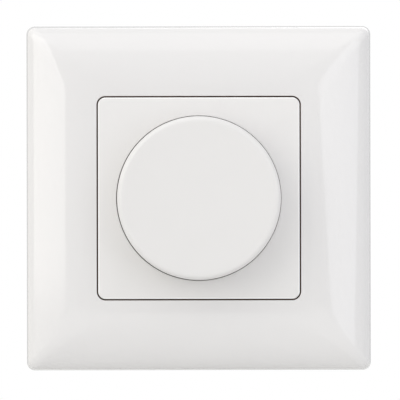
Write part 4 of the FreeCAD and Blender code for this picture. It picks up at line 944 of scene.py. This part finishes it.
rib_inside = COLLAR_HALF - WALL / 2
rib_crown = []
for degrees in RIB_CROWN_ANGLES:
    angle = math.radians(degrees)
    rib_crown.append((COLLAR_HALF + (dome_run - WALL / 2) * math.cos(angle),
                      SHOULDER_LEVEL + (dome_rise - WALL / 2) * math.sin(angle)))
rib_outline = [(rib_inside, RIB_BACK), (SHOULDER_HALF - WALL / 2, RIB_BACK), *rib_crown,
               (rib_inside, rib_crown[-1][1])]
ribs = []
for side in (-1, 1):
    for step in (-1, 0, 1):
        low = RIB_PITCH * step - RIB_THICKNESS / 2
        outline = [(side * across, level) for across, level in rib_outline]
        ribs.append(prism(outline, "Z", low, low + RIB_THICKNESS))
        ribs.append(prism(outline, "X", low, low + RIB_THICKNESS))
combine(gloss_frame, ribs)

FRAME_GLOSS = (0.843, 0.833, 0.833, 1)
FRAME_GLOSS_FLOW = (0.833, 0.823, 0.823, 1)
# Painted shade in the narrow gap round the centre plate: below its front round, the frame's opening wall is
# coloured dark brown and made dull, fully from a given depth on.
FRAME_SHADE_FROM = -9.49 * MM
FRAME_SHADE_FULL = -9.36 * MM
GAP_PAINTED_SHADE = (0.26, 0.12, 0.07, 1)
GAP_SHADE_ROUGHNESS = 0.95
GAP_SHADE_REACH = 25.4 * MM

opening_place, given, made = new_effect("opening_place", {}, ("Reach", "Depth"))
place = put(opening_place, "ShaderNodeTexCoord")
depth = put(opening_place, "ShaderNodeSeparateXYZ", {0: place.outputs["Object"]})
feed(opening_place, made["Depth"], depth.outputs["Y"])
mirrored = put(opening_place, "ShaderNodeVectorMath", {0: place.outputs["Object"]}, operation="ABSOLUTE")
sides = put(opening_place, "ShaderNodeSeparateXYZ", {0: mirrored.outputs[0]})
reach = put(opening_place, "ShaderNodeMath", {
    0: sides.outputs["X"], 1: sides.outputs["Z"]}, operation="MAXIMUM")
feed(opening_place, made["Reach"], reach.outputs[0])

# Painted shade for gaps: mixes a surface towards a dark colour and a dull roughness with depth, near the
# opening.
gap_painted_shade, given, made = new_effect(
    "gap_painted_shade",
    {"Color": (0.8, 0.8, 0.8, 1), "Shade Color": (0.3, 0.3, 0.3, 1), "Roughness": 0.3, "Reach": 0.0,
     "Depth": 0.0, "Unshaded Depth": 0.0, "Shaded Depth": 0.001},
    ("Color", "Roughness"))
into_gap = put(gap_painted_shade, "ShaderNodeMapRange", {
    "Value": given["Depth"], "From Min": given["Unshaded Depth"], "From Max": given["Shaded Depth"]})
near_opening = put(gap_painted_shade, "ShaderNodeMath", {0: given["Reach"], 1: GAP_SHADE_REACH}, operation="LESS_THAN")
in_gap = put(gap_painted_shade, "ShaderNodeMath", {
    0: into_gap.outputs[0], 1: near_opening.outputs[0]}, operation="MULTIPLY")
feed(gap_painted_shade, made["Color"], mixed(gap_painted_shade, in_gap.outputs[0], given["Color"], given["Shade Color"]))
dull = put(gap_painted_shade, "ShaderNodeMath", {0: in_gap.outputs[0], 1: GAP_SHADE_ROUGHNESS}, operation="MULTIPLY")
duller = put(gap_painted_shade, "ShaderNodeMath", {0: dull.outputs[0], 1: given["Roughness"]}, operation="MAXIMUM")
feed(gap_painted_shade, made["Roughness"], duller.outputs[0])

gloss_white, tree, surface = new_finish("gloss_white")
bare_gloss = put(tree, "ShaderNodeGroup", {
    "Color": FRAME_GLOSS, "Flow Color": FRAME_GLOSS_FLOW, "Grain": 0.35, "Depth": 0.05,
    "Roughness": 0.07, "Unevenness": 0.02}, node_tree=moulded_skin)
where = put(tree, "ShaderNodeGroup", node_tree=opening_place)
# The frame's wall in the gap gets painted shade.
gloss_with_painted_shade = put(tree, "ShaderNodeGroup", {
    "Color": bare_gloss.outputs["Color"], "Roughness": bare_gloss.outputs["Roughness"],
    "Shade Color": GAP_PAINTED_SHADE, "Reach": where.outputs["Reach"], "Depth": where.outputs["Depth"],
    "Unshaded Depth": FRAME_SHADE_FROM, "Shaded Depth": FRAME_SHADE_FULL}, node_tree=gap_painted_shade)
feed(tree, surface.inputs["Base Color"], gloss_with_painted_shade.outputs["Color"])
feed(tree, surface.inputs["Roughness"], gloss_with_painted_shade.outputs["Roughness"])
feed(tree, surface.inputs["Normal"], bare_gloss.outputs["Normal"])
surface.inputs["IOR"].default_value = 1.58
surface.inputs["Specular IOR Level"].default_value = 0.8
settle(gloss_frame, gloss_white, "cover_frame")

# Centre plate: a square satin white moulding with a small round on its edge, a skirt that sits on
# the frame's ledge, and a round well for the knob whose floor the nut clamps down.
PLATE_CLEARANCE = 0.3
PLATE_HALF = OPENING_HALF - PLATE_CLEARANCE
PLATE_CORNER = OPENING_CORNER - PLATE_CLEARANCE
PLATE_FRONT = FRONT_LEVEL + 0.35
PLATE_ROUND = 0.35
PLATE_ROUND_STEPS = 6
PLATE_WALL = 1.8
SKIRT_INSIDE = PLATE_HALF - PLATE_WALL
PLATE_BACK = PLATE_FRONT - PLATE_WALL
WELL_RADIUS = 20.35
WELL_ROUND = 0.15
WELL_ROUND_STEPS = 5
WELL_OUTSIDE = WELL_RADIUS + 1.6
WELL_FLOOR = 6.5
WELL_BACK = 4.5
NECK_HOLE = 5.2
PLATE_SATIN = (0.843, 0.833, 0.828, 1)
PLATE_SATIN_FLOW = (0.833, 0.823, 0.818, 1)
# Painted highlight: the plate's outer edge round is coloured lighter, for the thin bright line where light
# catches it.
EDGE_PAINTED_HIGHLIGHT = (0.96, 0.95, 0.94, 1)
PAINTED_HIGHLIGHT_FROM = 24.42 * MM
PAINTED_HIGHLIGHT_FULL = 24.6 * MM
# Painted shade on the plate: below its front, its outer edge in the gap by the frame is coloured dark brown.
# The wall of the knob's well is coloured grey-brown, standing for the shade in the thin ring round the knob.
PLATE_SHADE_FROM = -9.60 * MM
PLATE_SHADE_FULL = -9.42 * MM
WELL_PAINTED_SHADE = (0.30, 0.27, 0.24, 1)
WELL_SHADE_END = 22 * MM
GAP_SHADE_START = 24 * MM

plate_rings = [square_ring(PLATE_HALF, PLATE_CORNER, LEDGE_FRONT)]
for step in range(PLATE_ROUND_STEPS + 1):
    angle = math.radians(90 * step / PLATE_ROUND_STEPS)
    back = PLATE_ROUND * (1 - math.cos(angle))
    plate_rings.append(square_ring(
        PLATE_HALF - back, PLATE_CORNER - back, PLATE_FRONT - PLATE_ROUND * (1 - math.sin(angle))))
guide = plate_rings[0]
for step in range(WELL_ROUND_STEPS + 1):
    angle = math.radians(90 * step / WELL_ROUND_STEPS)
    radius = WELL_RADIUS + WELL_ROUND * (1 - math.sin(angle))
    plate_rings.append(round_ring(radius, PLATE_FRONT - WELL_ROUND * (1 - math.cos(angle)), guide))
plate_rings += [round_ring(radius, level, guide) for radius, level in (
    (WELL_RADIUS, WELL_FLOOR), (NECK_HOLE, WELL_FLOOR), (NECK_HOLE, WELL_BACK),
    (WELL_OUTSIDE, WELL_BACK), (WELL_OUTSIDE, PLATE_BACK))]
plate_rings += [square_ring(SKIRT_INSIDE, PLATE_CORNER, level) for level in (PLATE_BACK, LEDGE_FRONT)]
satin_plate = skin("satin_plate", plate_rings)

plate_white, tree, surface = new_finish("plate_white")
bare_satin = put(tree, "ShaderNodeGroup", {
    "Color": PLATE_SATIN, "Flow Color": PLATE_SATIN_FLOW, "Grain": 9.0, "Depth": 0.12,
    "Roughness": 0.38, "Unevenness": 0.05}, node_tree=moulded_skin)
where = put(tree, "ShaderNodeGroup", node_tree=opening_place)
# Painted highlight on the plate's outer edge.
painted_highlight_at_edge = put(tree, "ShaderNodeMapRange", {
    "Value": where.outputs["Reach"], "From Min": PAINTED_HIGHLIGHT_FROM, "From Max": PAINTED_HIGHLIGHT_FULL})
outside_well = put(tree, "ShaderNodeMapRange", {
    "Value": where.outputs["Reach"], "From Min": WELL_SHADE_END, "From Max": GAP_SHADE_START})
# Painted shade in both gaps: grey-brown in the well, dark brown at the outer edge.
satin_with_painted_shade = put(tree, "ShaderNodeGroup", {
    "Color": mixed(tree, painted_highlight_at_edge.outputs[0], bare_satin.outputs["Color"], EDGE_PAINTED_HIGHLIGHT),
    "Shade Color": mixed(tree, outside_well.outputs[0], WELL_PAINTED_SHADE, GAP_PAINTED_SHADE),
    "Roughness": bare_satin.outputs["Roughness"],
    "Reach": where.outputs["Reach"], "Depth": where.outputs["Depth"],
    "Unshaded Depth": PLATE_SHADE_FROM, "Shaded Depth": PLATE_SHADE_FULL}, node_tree=gap_painted_shade)
feed(tree, surface.inputs["Base Color"], satin_with_painted_shade.outputs["Color"])
feed(tree, surface.inputs["Roughness"], satin_with_painted_shade.outputs["Roughness"])
feed(tree, surface.inputs["Normal"], bare_satin.outputs["Normal"])
settle(satin_plate, plate_white, "centre_plate")

# Fixing of the plate: a spring-steel lock washer under a hexagon nut, which is nickel plated like
# the bush it runs on.
eased(spring_wire, "spring_steel", 0.05, "lock_washer")
eased(nickel, "nickel_brass", 0.12, "bush_nut")

# Leaf spring: bent from spring-steel strip. It sits in the knob's hub, bears on the spindle's flat
# and so holds the knob on.
eased(spring_wire, "spring_steel", 0.05, "knob_spring_clip")

# Knob: a satin white moulded cup, turned true, with a broad soft round at its rim, a hub inside
# that takes the spindle, and six ribs between hub and wall.
KNOB_RADIUS = 20.15
KNOB_FRONT = 19.85
KNOB_BACK = 8.6
KNOB_ROUND = 1.3
KNOB_ROUND_STEPS = 10
KNOB_WALL = 1.9
KNOB_INSIDE = KNOB_RADIUS - KNOB_WALL
KNOB_CEILING = KNOB_FRONT - KNOB_WALL
KNOB_FACE_RINGS = (4, 9, 14, 17.5)
KNOB_SIDE_RINGS = (16, 13)
KNOB_SIDES = 224
KNOB_CREASE = 40
HUB_RADIUS = 5.0
HUB_BACK = 11.8
BORE_RADIUS = 3.05
BORE_FLAT = 2.2
BORE_END = 17.1
KNOB_RIBS = 6
KNOB_RIB_BACK = 13.4
KNOB_RIB_THICKNESS = 1.2
KNOB_RIB_ROOT = 0.6


def with_flat(radius, level, angle):
    """Gives the knob's bore its flat, so that the spindle turns it."""
    across = radius * math.cos(angle)
    if radius == BORE_RADIUS:
        across = min(across, BORE_FLAT)
    return across, radius * math.sin(angle)


knob_profile = [(0, KNOB_FRONT)]
knob_profile += [(radius, KNOB_FRONT) for radius in KNOB_FACE_RINGS]
for step in range(KNOB_ROUND_STEPS + 1):
    angle = math.radians(90 * step / KNOB_ROUND_STEPS)
    knob_profile.append((KNOB_RADIUS - KNOB_ROUND * (1 - math.sin(angle)),
                         KNOB_FRONT - KNOB_ROUND * (1 - math.cos(angle))))
knob_profile += [(KNOB_RADIUS, level) for level in (*KNOB_SIDE_RINGS, KNOB_BACK)]
knob_profile += [
    (KNOB_INSIDE, KNOB_BACK), (KNOB_INSIDE, KNOB_CEILING), (HUB_RADIUS, KNOB_CEILING),
    (HUB_RADIUS, HUB_BACK), (BORE_RADIUS, HUB_BACK), (BORE_RADIUS, BORE_END), (0, BORE_END)]
cup = turned(knob_profile, KNOB_SIDES, shaped=with_flat)
round_knob = finished_mesh("round_knob", cup, crease=KNOB_CREASE)
spoke_outline = oblong(HUB_RADIUS - KNOB_RIB_ROOT, KNOB_INSIDE + KNOB_RIB_ROOT,
                       KNOB_RIB_BACK, KNOB_CEILING + KNOB_RIB_ROOT)
spokes = []
for step in range(KNOB_RIBS):
    spoke = prism(spoke_outline, "Z", -KNOB_RIB_THICKNESS / 2, KNOB_RIB_THICKNESS / 2)
    turn = Matrix.Rotation(math.tau * step / KNOB_RIBS, 3, "Y")
    bmesh.ops.rotate(spoke, verts=spoke.verts, matrix=turn)
    spokes.append(spoke)
combine(round_knob, spokes, crease=KNOB_CREASE)

knob_white = moulding("knob_white", (0.823, 0.813, 0.808), (0.813, 0.803, 0.798), 0.34,
                      grain=10.0, depth=0.10, unevenness=0.05)
settle(round_knob, knob_white, "knob")
